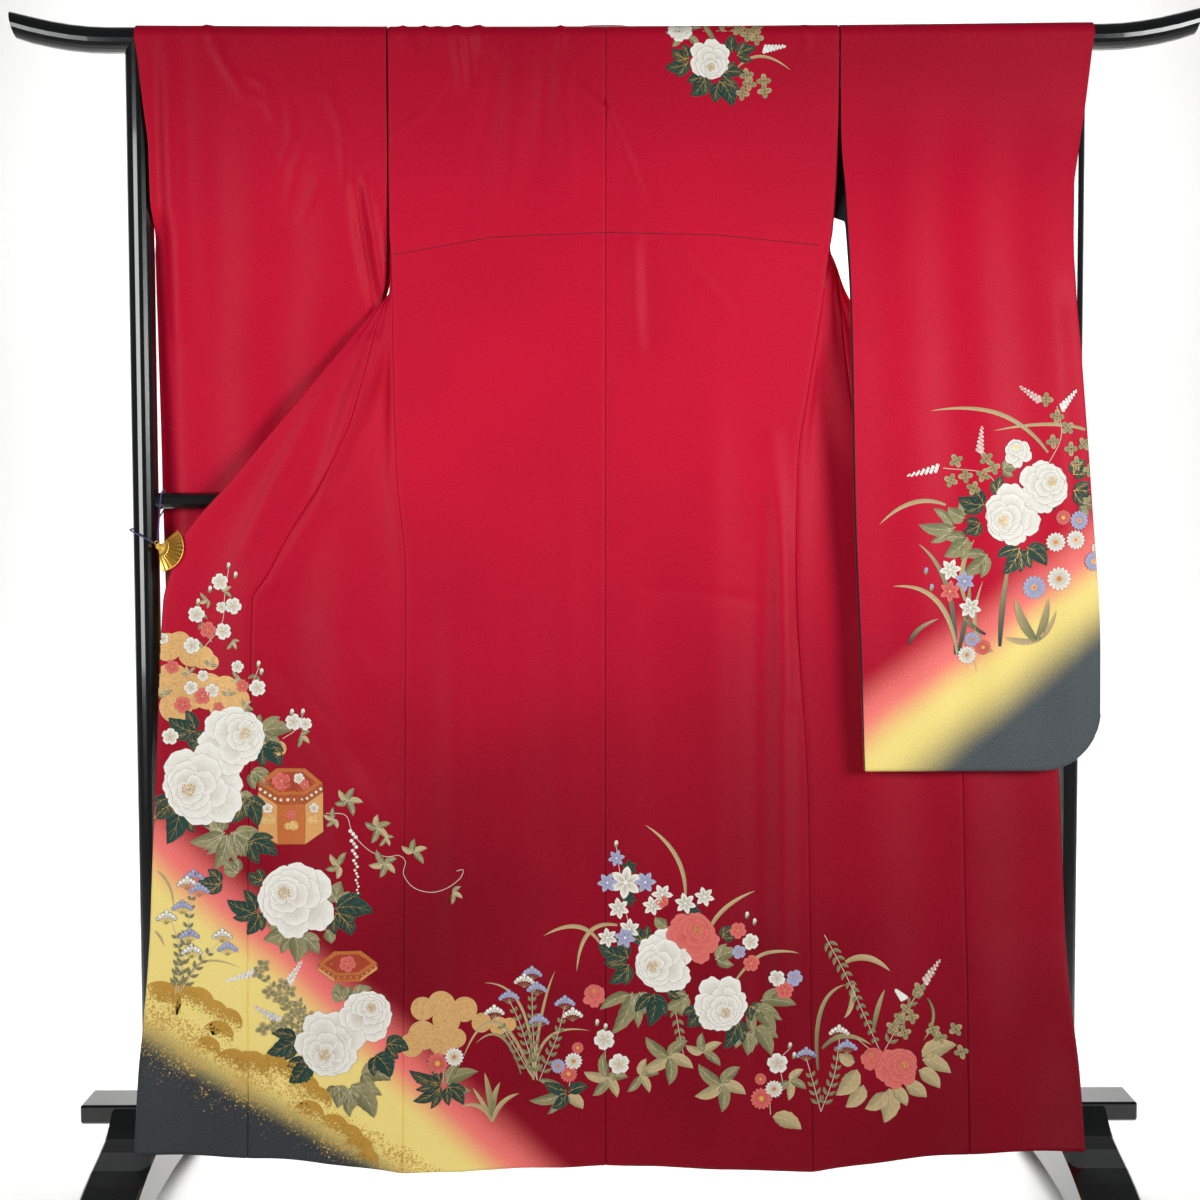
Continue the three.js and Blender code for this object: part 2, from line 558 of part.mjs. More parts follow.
// A long sleeve: one panel folded over the rail, sewn along its bottom and below the hand opening.
function sleeveGeometry(sleeve, side) {
  const table = columns(sleeve.rows);
  const steps = 8;
  const levels = [1640, 1600, 1560, 1520, 1480, 1430, 1380, 1330, 1280, 1220, 1150, 1080, 1010, 940, 860];
  levels.push(780, 710, 660);
  const shares = Array.from({ length: steps + 1 }, (_, k) => 1 - (1 - k / steps) ** 1.5);
  const place = (z, share, layer) => {
    const outer = layer < 0 ? table.nearOuter(z) : table.farOuter(z);
    const x = lerp(table.inner(z), outer, share);
    const half = (table.far(z) - table.near(z)) / 2;
    const sewn = smooth((sleeve.mouth - z) / 60) * smooth((share - 0.8) / 0.2);
    const thin = lerp(half, 1.7, sewn);
    const fold = SLEEVE_FOLD_DEPTH * Math.sin(Math.PI * share) * smooth((1600 - z) / 200) * smooth((z - 640) / 100);
    const wave = fold * Math.sin(2 * Math.PI * SLEEVE_FOLDS * share + (layer < 0 ? 0 : 1.2));
    return { x, y: (table.near(z) + table.far(z)) / 2 + layer * thin + wave * (1 - sewn) };
  };
  const bottomAt = (x) => {
    const reach = Math.abs(x) - (Math.abs(table.nearOuter(sleeve.bottom)) - sleeve.corner);
    const lift = reach > 0 ? sleeve.corner - Math.sqrt(Math.max(0, sleeve.corner ** 2 - reach ** 2)) : 0;
    return sleeve.bottom + lift;
  };
  const layerRows = (layer) => levels.map((level) => shares.map((share) => {
    const at = place(level, share, layer);
    const low = Math.min(bottomAt(at.x) + 6, sleeve.bottom + sleeve.corner);
    const z = level > 800 ? level : lerp(800, low, (800 - level) / 140);
    return new THREE.Vector3(at.x, at.y, z);
  }));
  const over = (turns, layer) => turns.map((turn) => shares.map((share) => (
    overRail(lerp(table.inner(SHOULDER), table.nearOuter(SHOULDER) + side * 3, share), turn, layer)
  )));
  const bottom = shares.map((share) => {
    const near = place(sleeve.bottom, share, -1);
    const far = place(sleeve.bottom, share, 1);
    const low = Math.min(bottomAt(near.x), sleeve.bottom + sleeve.corner - 6);
    return new THREE.Vector3(near.x, (near.y + far.y) / 2, low);
  });
  const turns = RAIL_TURNS.slice(1);
  return clothWall([
    ...over([0], -1), ...over(turns, -1), ...layerRows(-1), bottom,
    ...layerRows(1).reverse(), ...over([...turns].reverse(), 1),
  ], { ring: true });
}

// ---------------------------------------------------------------- clip and its cord

// A ribbed metal fan in front of the cloth's edge, riveted to a plain jaw behind it.
function clipGeometry() {
  const ribs = 9;
  const steps = ribs * 2;
  const from = THREE.MathUtils.degToRad(40);
  const to = THREE.MathUtils.degToRad(-84);
  const cloth = -29;
  const fan = (reach, nearY, farY, pleat) => {
    const ringAt = (radius, wave) => {
      const front = [];
      const rear = [];
      for (let k = 0; k <= steps; k++) {
        const angle = lerp(from, to, k / steps);
        const scallop = radius * (k % 2 ? 1.04 : 1);
        const x = CLIP_RIVET.x + scallop * Math.cos(angle);
        const z = CLIP_RIVET.z + scallop * Math.sin(angle);
        front.push(new THREE.Vector3(x, nearY - (k % 2 ? wave : 0), z));
        rear.unshift(new THREE.Vector3(x, farY, z));
      }
      return [...front, ...rear];
    };
    return loft([ringAt(4, 0), ringAt(reach * 0.5, pleat), ringAt(reach, pleat)]);
  };
  const plates = solidOf(fan(CLIP_RADIUS, cloth - 2, cloth - 3.6, 1))
    .add(solidOf(fan(CLIP_RADIUS * 0.8, cloth + 3.6, cloth + 2, 0)));
  const round = loft([0, 1].map((end) => circle(16, (angle) => new THREE.Vector3(
    CLIP_RIVET.x + 5 * Math.cos(angle),
    cloth - 4.6 + 9.2 * end,
    CLIP_RIVET.z + 5 * Math.sin(angle),
  ))));
  return geometryFrom(plates.add(solidOf(round)));
}

// The cord's route: from the clip up and over the crossbar, behind the post and back across its face.
const CORD_ROUTE = [
  { x: -634.5, y: -27, z: 953 }, { x: -634, y: -24, z: 970 }, { x: -633.5, y: -18.5, z: 992 },
  { x: -633, y: -14.5, z: 1008 }, { x: -632, y: -9.5, z: 1022 }, { x: -631.5, y: 0, z: 1026 },
  { x: -632, y: 10, z: 1021 }, { x: -633.5, y: 15, z: 1009 }, { x: -636.5, y: 17.5, z: 998 },
  { x: -645, y: 20.5, z: 986 }, { x: -657, y: 22, z: 978 }, { x: -670, y: 18, z: 973 },
  { x: -677.5, y: 9, z: 971 }, { x: -679.5, y: 0, z: 970 }, { x: -677.5, y: -9, z: 969 },
  { x: -670, y: -18, z: 966 }, { x: -657, y: -22.5, z: 960 }, { x: -645, y: -25, z: 954 },
  { x: -639, y: -27, z: 950.5 },
];

function cordGeometry() {
  const path = new THREE.CatmullRomCurve3(CORD_ROUTE.map(({ x, y, z }) => new THREE.Vector3(x, y, z)));
  const section = new THREE.Shape(circle(8, (angle) => new THREE.Vector2(
    CORD_RADIUS * Math.cos(angle),
    CORD_RADIUS * Math.sin(angle),
  )));
  return new THREE.ExtrudeGeometry(section, { steps: 28, extrudePath: path, bevelEnabled: false });
}

// ---------------------------------------------------------------- materials and assembly

const material = (color, roughness, metalness) => new THREE.MeshStandardMaterial({ color, roughness, metalness });
const lacquer = () => material(0x0b0c0d, 0.12, 0);
const silk = () => material(0xb0152f, 0.6, 0);
const gilt = () => material(0xd8b04a, 0.35, 0.9);
const plait = () => material(0x38235f, 0.7, 0);

const kimono = new THREE.Group();

function addPiece(parent, name, geometry, look) {
  const mesh = new THREE.Mesh(geometry, look);
  mesh.name = name;
  parent.add(mesh);
}

const rack = new THREE.Group();
addPiece(rack, 'rail', railGeometry(), lacquer());
addPiece(rack, 'crossbar', crossbarGeometry(), lacquer());
addPiece(rack, 'beam', beamGeometry(), lacquer());
const sides = [['left', -1, FRONT_LEFT, SLEEVE_LEFT], ['right', 1, FRONT_RIGHT, SLEEVE_RIGHT]];
for (const [name, side] of sides) {
  addPiece(rack, `post_${name}`, postGeometry(side * POST_X), lacquer());
  addPiece(rack, `foot_${name}`, footGeometry(side), lacquer());
}

const garment = new THREE.Group();
for (const [name, side, front, sleeve] of sides) {
  addPiece(garment, `back_${name}`, backGeometry(side), silk());
  addPiece(garment, `front_${name}`, frontGeometry(front), silk());
  addPiece(garment, `okumi_${name}`, overlapGeometry(front), silk());
  addPiece(garment, `sleeve_${name}`, sleeveGeometry(sleeve, side), silk());
}
addPiece(garment, 'collar', collarGeometry(), silk());

const holder = new THREE.Group();
addPiece(holder, 'clip', clipGeometry(), gilt());
addPiece(holder, 'clip_cord', cordGeometry(), plait());

kimono.add(rack, garment, holder);

export default kimono;
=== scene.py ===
"""A long-sleeved furisode kimono spread over a lacquered kimono rack, shown from its back.

Metres. +Z is up, the garment's back faces -Y and the floor is z = 0. "Left" and "right" are those of
someone who looks at the garment's back.
"""
import math
import random

import bmesh
import bpy
import numpy as np
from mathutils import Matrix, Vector
from mathutils.bvhtree import BVHTree


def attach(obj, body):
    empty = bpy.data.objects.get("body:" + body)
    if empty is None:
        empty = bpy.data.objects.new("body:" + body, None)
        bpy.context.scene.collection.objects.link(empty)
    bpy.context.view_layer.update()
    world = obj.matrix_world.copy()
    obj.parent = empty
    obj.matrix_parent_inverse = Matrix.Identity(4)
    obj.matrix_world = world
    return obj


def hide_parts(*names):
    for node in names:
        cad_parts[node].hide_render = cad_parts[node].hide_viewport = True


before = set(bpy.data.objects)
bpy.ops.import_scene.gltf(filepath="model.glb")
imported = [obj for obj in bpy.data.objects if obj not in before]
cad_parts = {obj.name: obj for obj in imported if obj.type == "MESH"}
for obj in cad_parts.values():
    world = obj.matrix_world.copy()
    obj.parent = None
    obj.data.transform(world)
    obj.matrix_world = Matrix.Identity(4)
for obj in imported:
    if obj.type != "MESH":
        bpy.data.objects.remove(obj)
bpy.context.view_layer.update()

bl_info = {
    "name": "Furisode kimono on a rack",
    "version": (1, 0, 0),
    "blender": (4, 5, 0),
    "location": "View3D > Sidebar > Kimono",
    "description": "Dresses the kimono and its rack: silk shells, dyed motifs, lacquer and the gilt clip",
    "category": "Add Mesh",
}

BODY = "root"
MM = 0.001


# ---------------------------------------------------------------- settings

def linear(red, green, blue):
    """A colour given in sRGB steps of 0 to 255, as the linear values that Blender's colours hold."""
    def channel(value):
        share = value / 255
        return share / 12.92 if share <= 0.04045 else ((share + 0.055) / 1.055) ** 2.4
    return (channel(red), channel(green), channel(blue))


def colour(name, description, default):
    return bpy.props.FloatVectorProperty(
        name=name, description=description, subtype="COLOR", size=3, min=0, max=1, default=linear(*default))


def length(name, description, default):
    return bpy.props.FloatProperty(
        name=name, description=description, default=default, min=0, unit="LENGTH", precision=4)


class SilkSettings(bpy.types.PropertyGroup):
    """The dyed silk of the garment."""
    wall: length("Wall", "Thickness of the lined silk", 1.2 * MM)
    step: length("Mesh step", "Distance between two threads of the silk's mesh", 6 * MM)
    crimson: colour("Crimson", "Main dye of the silk", (208, 10, 50))
    # Painted shade: a darker crimson that silk_look mixes in towards the hem and near the rail where the
    # light falls off, and the colour of the left sleeve's lining, which lies in shade.
    shaded_crimson: colour("Deep crimson", "Dye towards the hem and in the folds", (122, 0, 24))
    coral: colour("Coral", "Where the crimson fades into the yellow", (255, 122, 116))
    yellow: colour("Yellow", "Band of pale gold dye", (255, 230, 134))
    charcoal: colour("Charcoal", "Dye of the lowest corners", (56, 62, 65))
    slate: colour("Slate", "Dye of the sleeves' lower corners", (78, 85, 88))
    lining: colour("Lining", "Plain silk inside the garment", (236, 228, 218))
    hem_lining: colour("Hem lining", "Charcoal lining of hem and sleeve mouths", (58, 54, 58))


class MotifSettings(bpy.types.PropertyGroup):
    """Colours of the dyed motifs."""
    white: colour("White", "White blossoms", (255, 254, 246))
    coral: colour("Coral", "Coral blossoms", (236, 122, 112))
    lilac: colour("Lilac", "Lilac blossoms", (184, 187, 214))
    pine: colour("Pine", "Dark leaves", (26, 66, 58))
    olive: colour("Olive", "Olive leaves", (122, 128, 84))
    straw: colour("Straw", "Pale leaves and grass", (196, 174, 128))
    gold: colour("Gold", "Outlines, stamens and clouds", (232, 182, 84))


class RackSettings(bpy.types.PropertyGroup):
    """Finish of the rack and of the clip."""
    lacquer: colour("Lacquer", "Colour of the lacquered wood", (9, 10, 11))
    gloss: bpy.props.FloatProperty(
        name="Gloss", description="Roughness of the lacquer", default=0.12, min=0.02, max=1)
    gilt: colour("Gilt", "Colour of the metal fan", (222, 180, 84))
    plait: colour("Plait", "Colour of the clip's cord", (54, 36, 96))


class StageSettings(bpy.types.PropertyGroup):
    """Floor, light and camera."""
    floor: colour("Floor", "Colour of floor and backdrop", (244, 244, 243))
    light: bpy.props.FloatProperty(
        name="Light", description="Strength of the studio light", default=1.0, min=0)
    distance: length("Camera distance", "Distance from camera to the rail", 2.4966)
    height: length("Camera height", "Height of the camera", 0.9978)


GROUPS = {
    "kimono_silk": SilkSettings,
    "kimono_motifs": MotifSettings,
    "kimono_rack": RackSettings,
    "kimono_stage": StageSettings,
}


def settings(name):
    return getattr(bpy.context.scene, "kimono_" + name)


# ---------------------------------------------------------------- shader maths

class Value:
    """A number that a shader works out; arithmetic on it adds Math nodes."""

    def __init__(self, look, socket):
        self.look = look
        self.socket = socket

    def math(self, operation, *others):
        values = dict(enumerate([self, *others]))
        return Value(self.look, self.look.node("ShaderNodeMath", {"operation": operation}, values).outputs[0])

    def __add__(self, other):
        return self.math("ADD", other)

    __radd__ = __add__

    def __mul__(self, other):
        return self.math("MULTIPLY", other)

    __rmul__ = __mul__

    def __sub__(self, other):
        return self.math("SUBTRACT", other)

    def __rsub__(self, other):
        return self * -1 + other

    def rise(self, start, end):
        """0 before start, 1 after end, and a smooth step between them; end may lie before start."""
        if end < start:
            return 1 - self.rise(end, start)
        node = self.look.node(
            "ShaderNodeMapRange", {"interpolation_type": "SMOOTHSTEP"},
            {"Value": self, "From Min": start, "From Max": end})
        return Value(self.look, node.outputs[0])


class Look:
    """A node material with one Principled shader, built by short calls."""

    def __init__(self, name, **constants):
        self.material = bpy.data.materials.new(name)
        self.material.use_nodes = True
        self.tree = self.material.node_tree
        self.shader = self.tree.nodes["Principled BSDF"]
        self.finish(**constants)

    def node(self, kind, options=None, inputs=None):
        """Adds a node: its options first, then the values or links of its sockets."""
        node = self.tree.nodes.new(kind)
        for key, value in (options or {}).items():
            setattr(node, key, value)
        for key, value in (inputs or {}).items():
            self.feed(node.inputs[key], value)
        return node

    def feed(self, socket, value):
        source = value.socket if isinstance(value, Value) else value
        if isinstance(source, bpy.types.NodeSocket):
            self.tree.links.new(source, socket)
        elif socket.type == "RGBA" and len(source) == 3:
            socket.default_value = (*source, 1)
        else:
            socket.default_value = source

    def finish(self, **inputs):
        """Feeds sockets of the shader, with "_" for each space in their names, and gives the material."""
        for socket, value in inputs.items():
            self.feed(self.shader.inputs[socket.replace("_", " ")], value)
        return self.material

    def place(self):
        """Object coordinates as one vector."""
        return self.node("ShaderNodeTexCoord").outputs["Object"]

    def axes(self):
        """Object coordinates as three numbers."""
        split = self.node("ShaderNodeSeparateXYZ", inputs={0: self.place()})
        return [Value(self, output) for output in split.outputs]

    def cloth(self):
        """The piece's own cloth coordinates, in metres across and along it."""
        return self.node("ShaderNodeUVMap", {"uv_map": "Cloth"}).outputs[0]

    def attribute(self, name, output="Color"):
        return self.node("ShaderNodeAttribute", {"attribute_name": name}).outputs[output]

    def noise(self, vector, scale, detail=2.0, roughness=0.5):
        node = self.node(
            "ShaderNodeTexNoise", {"noise_dimensions": "3D"},
            {"Vector": vector, "Scale": scale, "Detail": detail, "Roughness": roughness})
        return Value(self, node.outputs["Fac"])

    def stretched(self, vector, scale):
        """The vector with each of its axes scaled."""
        node = self.node("ShaderNodeVectorMath", {"operation": "MULTIPLY"}, {0: vector, 1: scale})
        return node.outputs[0]

    def mix(self, share, first, second, blend="MIX"):
        """A colour between two, at a share that may be a number or a Value."""
        node = self.node("ShaderNodeMix", {"data_type": "RGBA", "blend_type": blend})
        self.feed(node.inputs[0], share)
        self.feed(node.inputs[6], first)
        self.feed(node.inputs[7], second)
        return node.outputs[2]

    def bump(self, height, strength, distance):
        node = self.node(
            "ShaderNodeBump", None, {"Strength": strength, "Distance": distance, "Height": height})
        self.finish(Normal=node.outputs[0])


def crepe(look, vector, strength=0.5):
    """The fine pebbled grain of silk crepe, with its crossing threads, as a bump."""
    pebble = look.noise(vector, 620, 1.0)
    slub = look.noise(look.stretched(vector, (240, 900, 240)), 1.0, 1.0)
    look.bump(pebble * 0.7 + slub * 0.3, strength, 0.6 * MM)
    return pebble


# ---------------------------------------------------------------- small maths

def lerp(start, end, share):
    return start + (end - start) * share


def smooth(share):
    share = np.clip(share, 0, 1)
    return share * share * (3 - 2 * share)


def bell(share):
    return np.exp(-share * share)


def unit(vectors):
    """The vectors, each scaled to a length of 1."""
    return vectors / np.maximum(np.linalg.norm(vectors, axis=-1, keepdims=True), 1e-12)


def around(count):
    """Angles evenly spread round a circle."""
    return np.linspace(0, 2 * math.pi, count, endpoint=False)


def circle(count):
    """Points evenly spread round a circle of radius 1."""
    angle = around(count)
    return np.stack((np.cos(angle), np.sin(angle)), axis=1)


class Table:
    """Rows whose first column falls; each other named column is read as a smooth curve over the first."""

    def __init__(self, names, rows):
        self.names = names.split()
        self.rows = np.array(rows)

    def __call__(self, name, z):
        heights = self.rows[:, 0]
        values = self.rows[:, self.names.index(name)]
        slopes = np.diff(values) / np.diff(heights)
        before = np.append(slopes[0], slopes)
        after = np.append(slopes, slopes[-1])
        together = np.where(before * after > 0, before + after, 1)
        tangents = np.where(before * after > 0, 2 * before * after / together, 0)
        level = np.clip(z, heights[-1], heights[0])
        row = np.clip(np.searchsorted(-heights, -level, side="right") - 1, 0, len(heights) - 2)
        span = heights[row + 1] - heights[row]
        t = (level - heights[row]) / span
        eased = (1 + 2 * t) * (1 - t) ** 2 * values[row] + t * t * (3 - 2 * t) * values[row + 1]
        return eased + span * t * (1 - t) * ((1 - t) * tangents[row] - t * tangents[row + 1])


# ---------------------------------------------------------------- the garment's sizes

DRAPE_RADIUS = 19.8 * MM       # from the rail's axis to the middle of the cloth over it
SHOULDER = 1.640               # where the straight hang starts, just under the rail's axis
RAIL_HEIGHT = 1.657
RAIL_SAG = 3 * MM
POST_X = 0.657
TIP_START = 0.700
TIP_RISE = 22 * MM
RAIL_HALF = 0.832
HEM_START = 0.400              # below it the threads turn to run along the hem
LOWEST = 0.050
SEAM = 0.12 * MM               # half the parting between two sewn panels
RIDGE = 0.06 * MM              # the same where front and back meet on the rail
ROLL = 2.6 * MM                # width of the turned-in edge beside a seam
ROLL_DEPTH = 2.4 * MM

BACK_EDGES = Table("z left centre right", [
    (1.640, -0.3045, 0.0005, 0.3270), (1.520, -0.3045, 0, 0.3260), (1.388, -0.3038, -0.0005, 0.3180),
    (1.352, -0.3020, -0.0008, 0.3120), (1.289, -0.3010, -0.0010, 0.3040), (1.187, -0.3000, -0.0015, 0.2880),
    (1.055, -0.2970, -0.0020, 0.2695), (0.910, -0.2855, -0.0026, 0.2675), (0.585, -0.2885, -0.0035, 0.2850),
    (0.050, -0.2960, -0.0045, 0.2920),
])
BACK_DEPTH = Table("z y", [
    (1.640, -0.0198), (1.480, -0.0220), (1.300, -0.0240), (0.900, -0.0275), (0.400, -0.0340),
    (0.170, -0.0400), (0.050, -0.0430),
])
BACK_HEM = (0.060, 0.049)      # height of the hem at the centre seam and at the side seams

# Soft vertical folds of the hanging back: place, depth, half width, and the heights they fade at.
BACK_FOLDS = [
    (0.248, 7.0 * MM, 0.016, 1.080, 0.420), (0.214, -4.0 * MM, 0.020, 1.040, 0.300),
    (0.150, 3.5 * MM, 0.026, 1.250, 0.160), (0.070, -3.0 * MM, 0.030, 0.980, 0.090),
    (-0.060, 3.0 * MM, 0.026, 1.180, 0.120), (-0.130, -3.5 * MM, 0.030, 1.040, 0.090),
    (-0.215, 4.0 * MM, 0.024, 0.980, 0.150),
]

FRONT_COLUMNS = "z gap lag edge_x edge_y share"
FRONT_ROWS = {
    "left": Table(FRONT_COLUMNS, [
        (1.640, 0.0006, 0.0396, -0.062, 0.0198, 1), (1.480, 0.0006, 0.0430, -0.177, 0.0210, 1),
        (1.430, 0.0008, 0.0424, -0.213, 0.0200, 0.95), (1.385, 0.0024, 0.0320, -0.246, 0.0180, 0.8),
        (1.350, 0.0034, 0.0110, -0.272, 0.0130, 0.65), (1.306, 0.0028, 0.0004, -0.304, 0.0020, 0.55),
        (1.281, 0.0018, 0, -0.325, -0.0130, 0.48), (1.217, 0.0011, 0, -0.379, -0.0210, 0.4),
        (1.140, 0.0011, 0, -0.444, -0.0250, 0.37), (1.040, 0.0011, 0, -0.529, -0.0275, 0.45),
        (0.956, 0.0011, 0, -0.600, -0.0290, 0.53), (0.904, 0.0011, 0, -0.619, -0.0294, 0.585),
        (0.869, 0.0011, 0, -0.628, -0.0296, 0.63), (0.700, 0.0011, 0, -0.638, -0.0310, 0.625),
        (0.420, 0.0011, 0, -0.650, -0.0420, 0.615), (0.330, 0.0011, 0, -0.652, -0.0560, 0.61),
        (0.250, 0.0011, 0, -0.653, -0.0790, 0.605), (0.180, 0.0011, 0, -0.653, -0.1060, 0.6),
        (0.050, 0.0011, 0, -0.653, -0.1350, 0.6),
    ]),
    "right": Table(FRONT_COLUMNS, [
        (1.640, 0.0006, 0.0396, 0.062, 0.0198, 1), (1.480, 0.0006, 0.0430, 0.186, 0.0210, 1),
        (1.430, 0.0008, 0.0424, 0.245, 0.0185, 0.95), (1.385, 0.0024, 0.0320, 0.300, 0.0120, 0.8),
        (1.350, 0.0030, 0.0110, 0.3225, 0.0020, 0.65), (1.306, 0.0028, 0.0004, 0.3375, -0.0080, 0.55),
        (1.281, 0.0018, 0, 0.350, -0.0150, 0.48), (1.217, 0.0011, 0, 0.398, -0.0210, 0.4),
        (1.140, 0.0011, 0, 0.459, -0.0250, 0.37), (1.040, 0.0011, 0, 0.541, -0.0275, 0.45),
        (0.956, 0.0011, 0, 0.606, -0.0290, 0.53), (0.904, 0.0011, 0, 0.619, -0.0294, 0.585),
        (0.869, 0.0011, 0, 0.627, -0.0296, 0.63), (0.700, 0.0011, 0, 0.637, -0.0310, 0.62),
        (0.420, 0.0011, 0, 0.648, -0.0420, 0.61), (0.330, 0.0011, 0, 0.650, -0.0560, 0.61),
        (0.250, 0.0011, 0, 0.652, -0.0790, 0.605), (0.180, 0.0011, 0, 0.653, -0.1060, 0.6),
        (0.050, 0.0011, 0, 0.654, -0.1350, 0.6),
    ]),
}
FRONT_HEM = {"left": (0.049, 0.084, 0.111), "right": (0.049, 0.086, 0.112)}   # seam, middle, corner
NECK_HALF = 0.050
GATHERS = 4                    # pleats that radiate from the armhole gap
GATHER_DEPTH = 1.6 * MM
GATHER_HEIGHT = 1.300
GATHER_BULGE = 5 * MM
VALLEY = {"left": 0.0125, "right": 0.0115}   # how deep each front falls back beside its side seam
VALLEY_PLACE = 0.13
CURTAIN_FOLDS = 2.5            # broad waves across a spread front
CURTAIN_DEPTH = 3.2 * MM
OVERLAP_TOP = 1.429
SPREAD_TOP = 1.200             # below it the fronts hang spread out

SLEEVE_COLUMNS = "z inner near_outer far_outer near far"
SLEEVE_ROWS = {
    "left": Table(SLEEVE_COLUMNS, [
        (1.640, -0.3060, -0.655, -0.655, -0.0198, 0.0198),
        (1.560, -0.3060, -0.646, -0.646, -0.0220, 0.0225),
        (1.500, -0.3062, -0.640, -0.640, -0.0216, 0.0240),
        (1.440, -0.3072, -0.6398, -0.6398, -0.0180, 0.0260),
        (1.392, -0.3078, -0.6380, -0.6380, -0.0145, 0.0280),
        (1.355, -0.3088, -0.6398, -0.6398, -0.0110, 0.0290),
        (1.320, -0.3104, -0.6398, -0.6398, -0.0080, 0.0305),
        (1.290, -0.3190, -0.6398, -0.6398, -0.0050, 0.0315),
        (1.240, -0.3330, -0.6398, -0.6398, 0.0010, 0.0330),
        (1.040, -0.3360, -0.6398, -0.6398, 0.0165, 0.0390),
        (0.980, -0.3350, -0.6390, -0.6390, 0.0175, 0.0390),
        (0.800, -0.3320, -0.636, -0.636, 0.0160, 0.0360), (0.612, -0.3300, -0.634, -0.634, 0.0180, 0.0260),
    ]),
    "right": Table(SLEEVE_COLUMNS, [
        (1.640, 0.3284, 0.680, 0.680, -0.0198, 0.0198), (1.600, 0.3284, 0.675, 0.661, -0.0220, 0.0225),
        (1.540, 0.3284, 0.667, 0.635, -0.0250, 0.0225), (1.510, 0.3288, 0.662, 0.634, -0.0280, 0.0140),
        (1.424, 0.3345, 0.650, 0.6335, -0.0400, -0.0090), (1.350, 0.3380, 0.649, 0.636, -0.0500, -0.0280),
        (1.290, 0.3400, 0.653, 0.650, -0.0560, -0.0390), (1.200, 0.3415, 0.660, 0.660, -0.0640, -0.0460),
        (1.009, 0.3450, 0.675, 0.675, -0.0680, -0.0480), (0.800, 0.3540, 0.689, 0.689, -0.0680, -0.0490),
        (0.628, 0.3620, 0.690, 0.690, -0.0630, -0.0550),
    ]),
}
SLEEVE_CUT = {"left": (0.612, 0.070, 1.430), "right": (0.628, 0.082, 1.330)}   # bottom, corner, mouth
SLEEVE_TONGUE = {"left": 0, "right": 0.024}   # how far the far layer's edge reaches into the armhole
SLEEVE_HEM_START = 0.800       # below it the sleeve's threads turn to run along its bottom
SLEEVE_HEM_RUN = 0.140
SLEEVE_FOLDS = 3
SLEEVE_FOLD_DEPTH = 2.4 * MM

COLLAR_WIDTH = 0.058
COLLAR_END = 0.958
HEM_LINING_TOP = 0.47          # the lining of body and fronts is charcoal below it
NECK_RADIUS = DRAPE_RADIUS + 2.6 * MM

# Motifs and creases are placed by pixels of the front view, which is 1200 wide and 1200 high. Where those
# pixels lie on the silk, in millimetres:
PIXEL_WIDTH = 1.4175
PIXEL_HEIGHT = 1.4157
VIEW_MIDDLE = 600              # the pixel column in the middle
VIEW_SHIFT = 7                 # how far that column lies left of the part's middle at the top
VIEW_LEAN = 0.0042             # and how much further left with each pixel down
VIEW_TOP = 1717.5              # height of the view's upper edge

SIDES = {"left": -1, "right": 1}


# ---------------------------------------------------------------- the silk's surfaces

def rail_axis(x):
    """Height of the rail's axis along its length."""
    sag = RAIL_SAG * np.clip(1 - (x / POST_X) ** 2, 0, 1)
    tip = TIP_RISE * np.clip((np.abs(x) - TIP_START) / (RAIL_HALF - TIP_START), 0, 1) ** 1.8
    return RAIL_HEIGHT - sag + tip


def stacked(x, y, z):
    return np.stack(np.broadcast_arrays(x, y, z), axis=-1)


def over_rail(x, turn, side, radius=DRAPE_RADIUS):
    """Cloth over the rail: "turn" is the angle from its top, towards y = side."""
    return stacked(x, side * radius * np.sin(turn), rail_axis(x) + radius * np.cos(turn))


def across(width, step):
    """Shares from 0 to 1 across a panel, a step apart, closer at both edges."""
    edge = np.array([0, 0.8, 1.8, 3.2]) * MM / width
    inner = np.linspace(edge[-1], 1 - edge[-1], max(2, round((width - 2 * edge[-1] * width) / step)) + 1)
    return np.concatenate((edge[:-1], inner, 1 - edge[-2::-1]))[None, :]


def levels_between(high, low, step):
    return np.linspace(high, low, max(2, round((high - low) / step)) + 1)[:, None]


RAIL_TURNS = np.linspace(RIDGE / DRAPE_RADIUS, math.pi / 2, 14)[:, None]


def turned_to_hem(level, hem):
    """Height of a thread that hangs level higher up and runs along the hem at the bottom."""
    share = (HEM_START - level) / (HEM_START - LOWEST)
    return np.where(level > HEM_START, level, lerp(HEM_START, hem, share))


def back_fold(x, z):
    total = 0
    for place, depth, width, high, low in BACK_FOLDS:
        fade = smooth((high - z) / 0.26) * smooth((z - low + 0.26) / 0.26)
        total = total + depth * fade * bell((x - place) / width)
    return total


def back_surface(name, step):
    side = SIDES[name]
    shares = across(0.305, step)

    def line(level):
        return lerp(BACK_EDGES("centre", level) + side * SEAM, BACK_EDGES(name, level), shares)

    over = over_rail(line(np.array([[SHOULDER]])) + 0 * RAIL_TURNS, RAIL_TURNS, -1)
    level = levels_between(SHOULDER, LOWEST, step)[1:]
    x = line(level)
    calm = smooth((1 - shares) / 0.1) * smooth(shares / 0.08)
    y = BACK_DEPTH("y", level) - back_fold(x, level) * calm
    z = turned_to_hem(level, lerp(*BACK_HEM, shares))
    return np.concatenate((over, stacked(x, y, z)))


def seam_point(name, level):
    """Where a front body's side seam runs at a height."""
    rows = FRONT_ROWS[name]
    gap = np.where(level < GATHER_HEIGHT, 2 * SEAM, rows("gap", level))
    x = BACK_EDGES(name, level) + SIDES[name] * gap
    return x, BACK_DEPTH("y", level) + rows("lag", level)


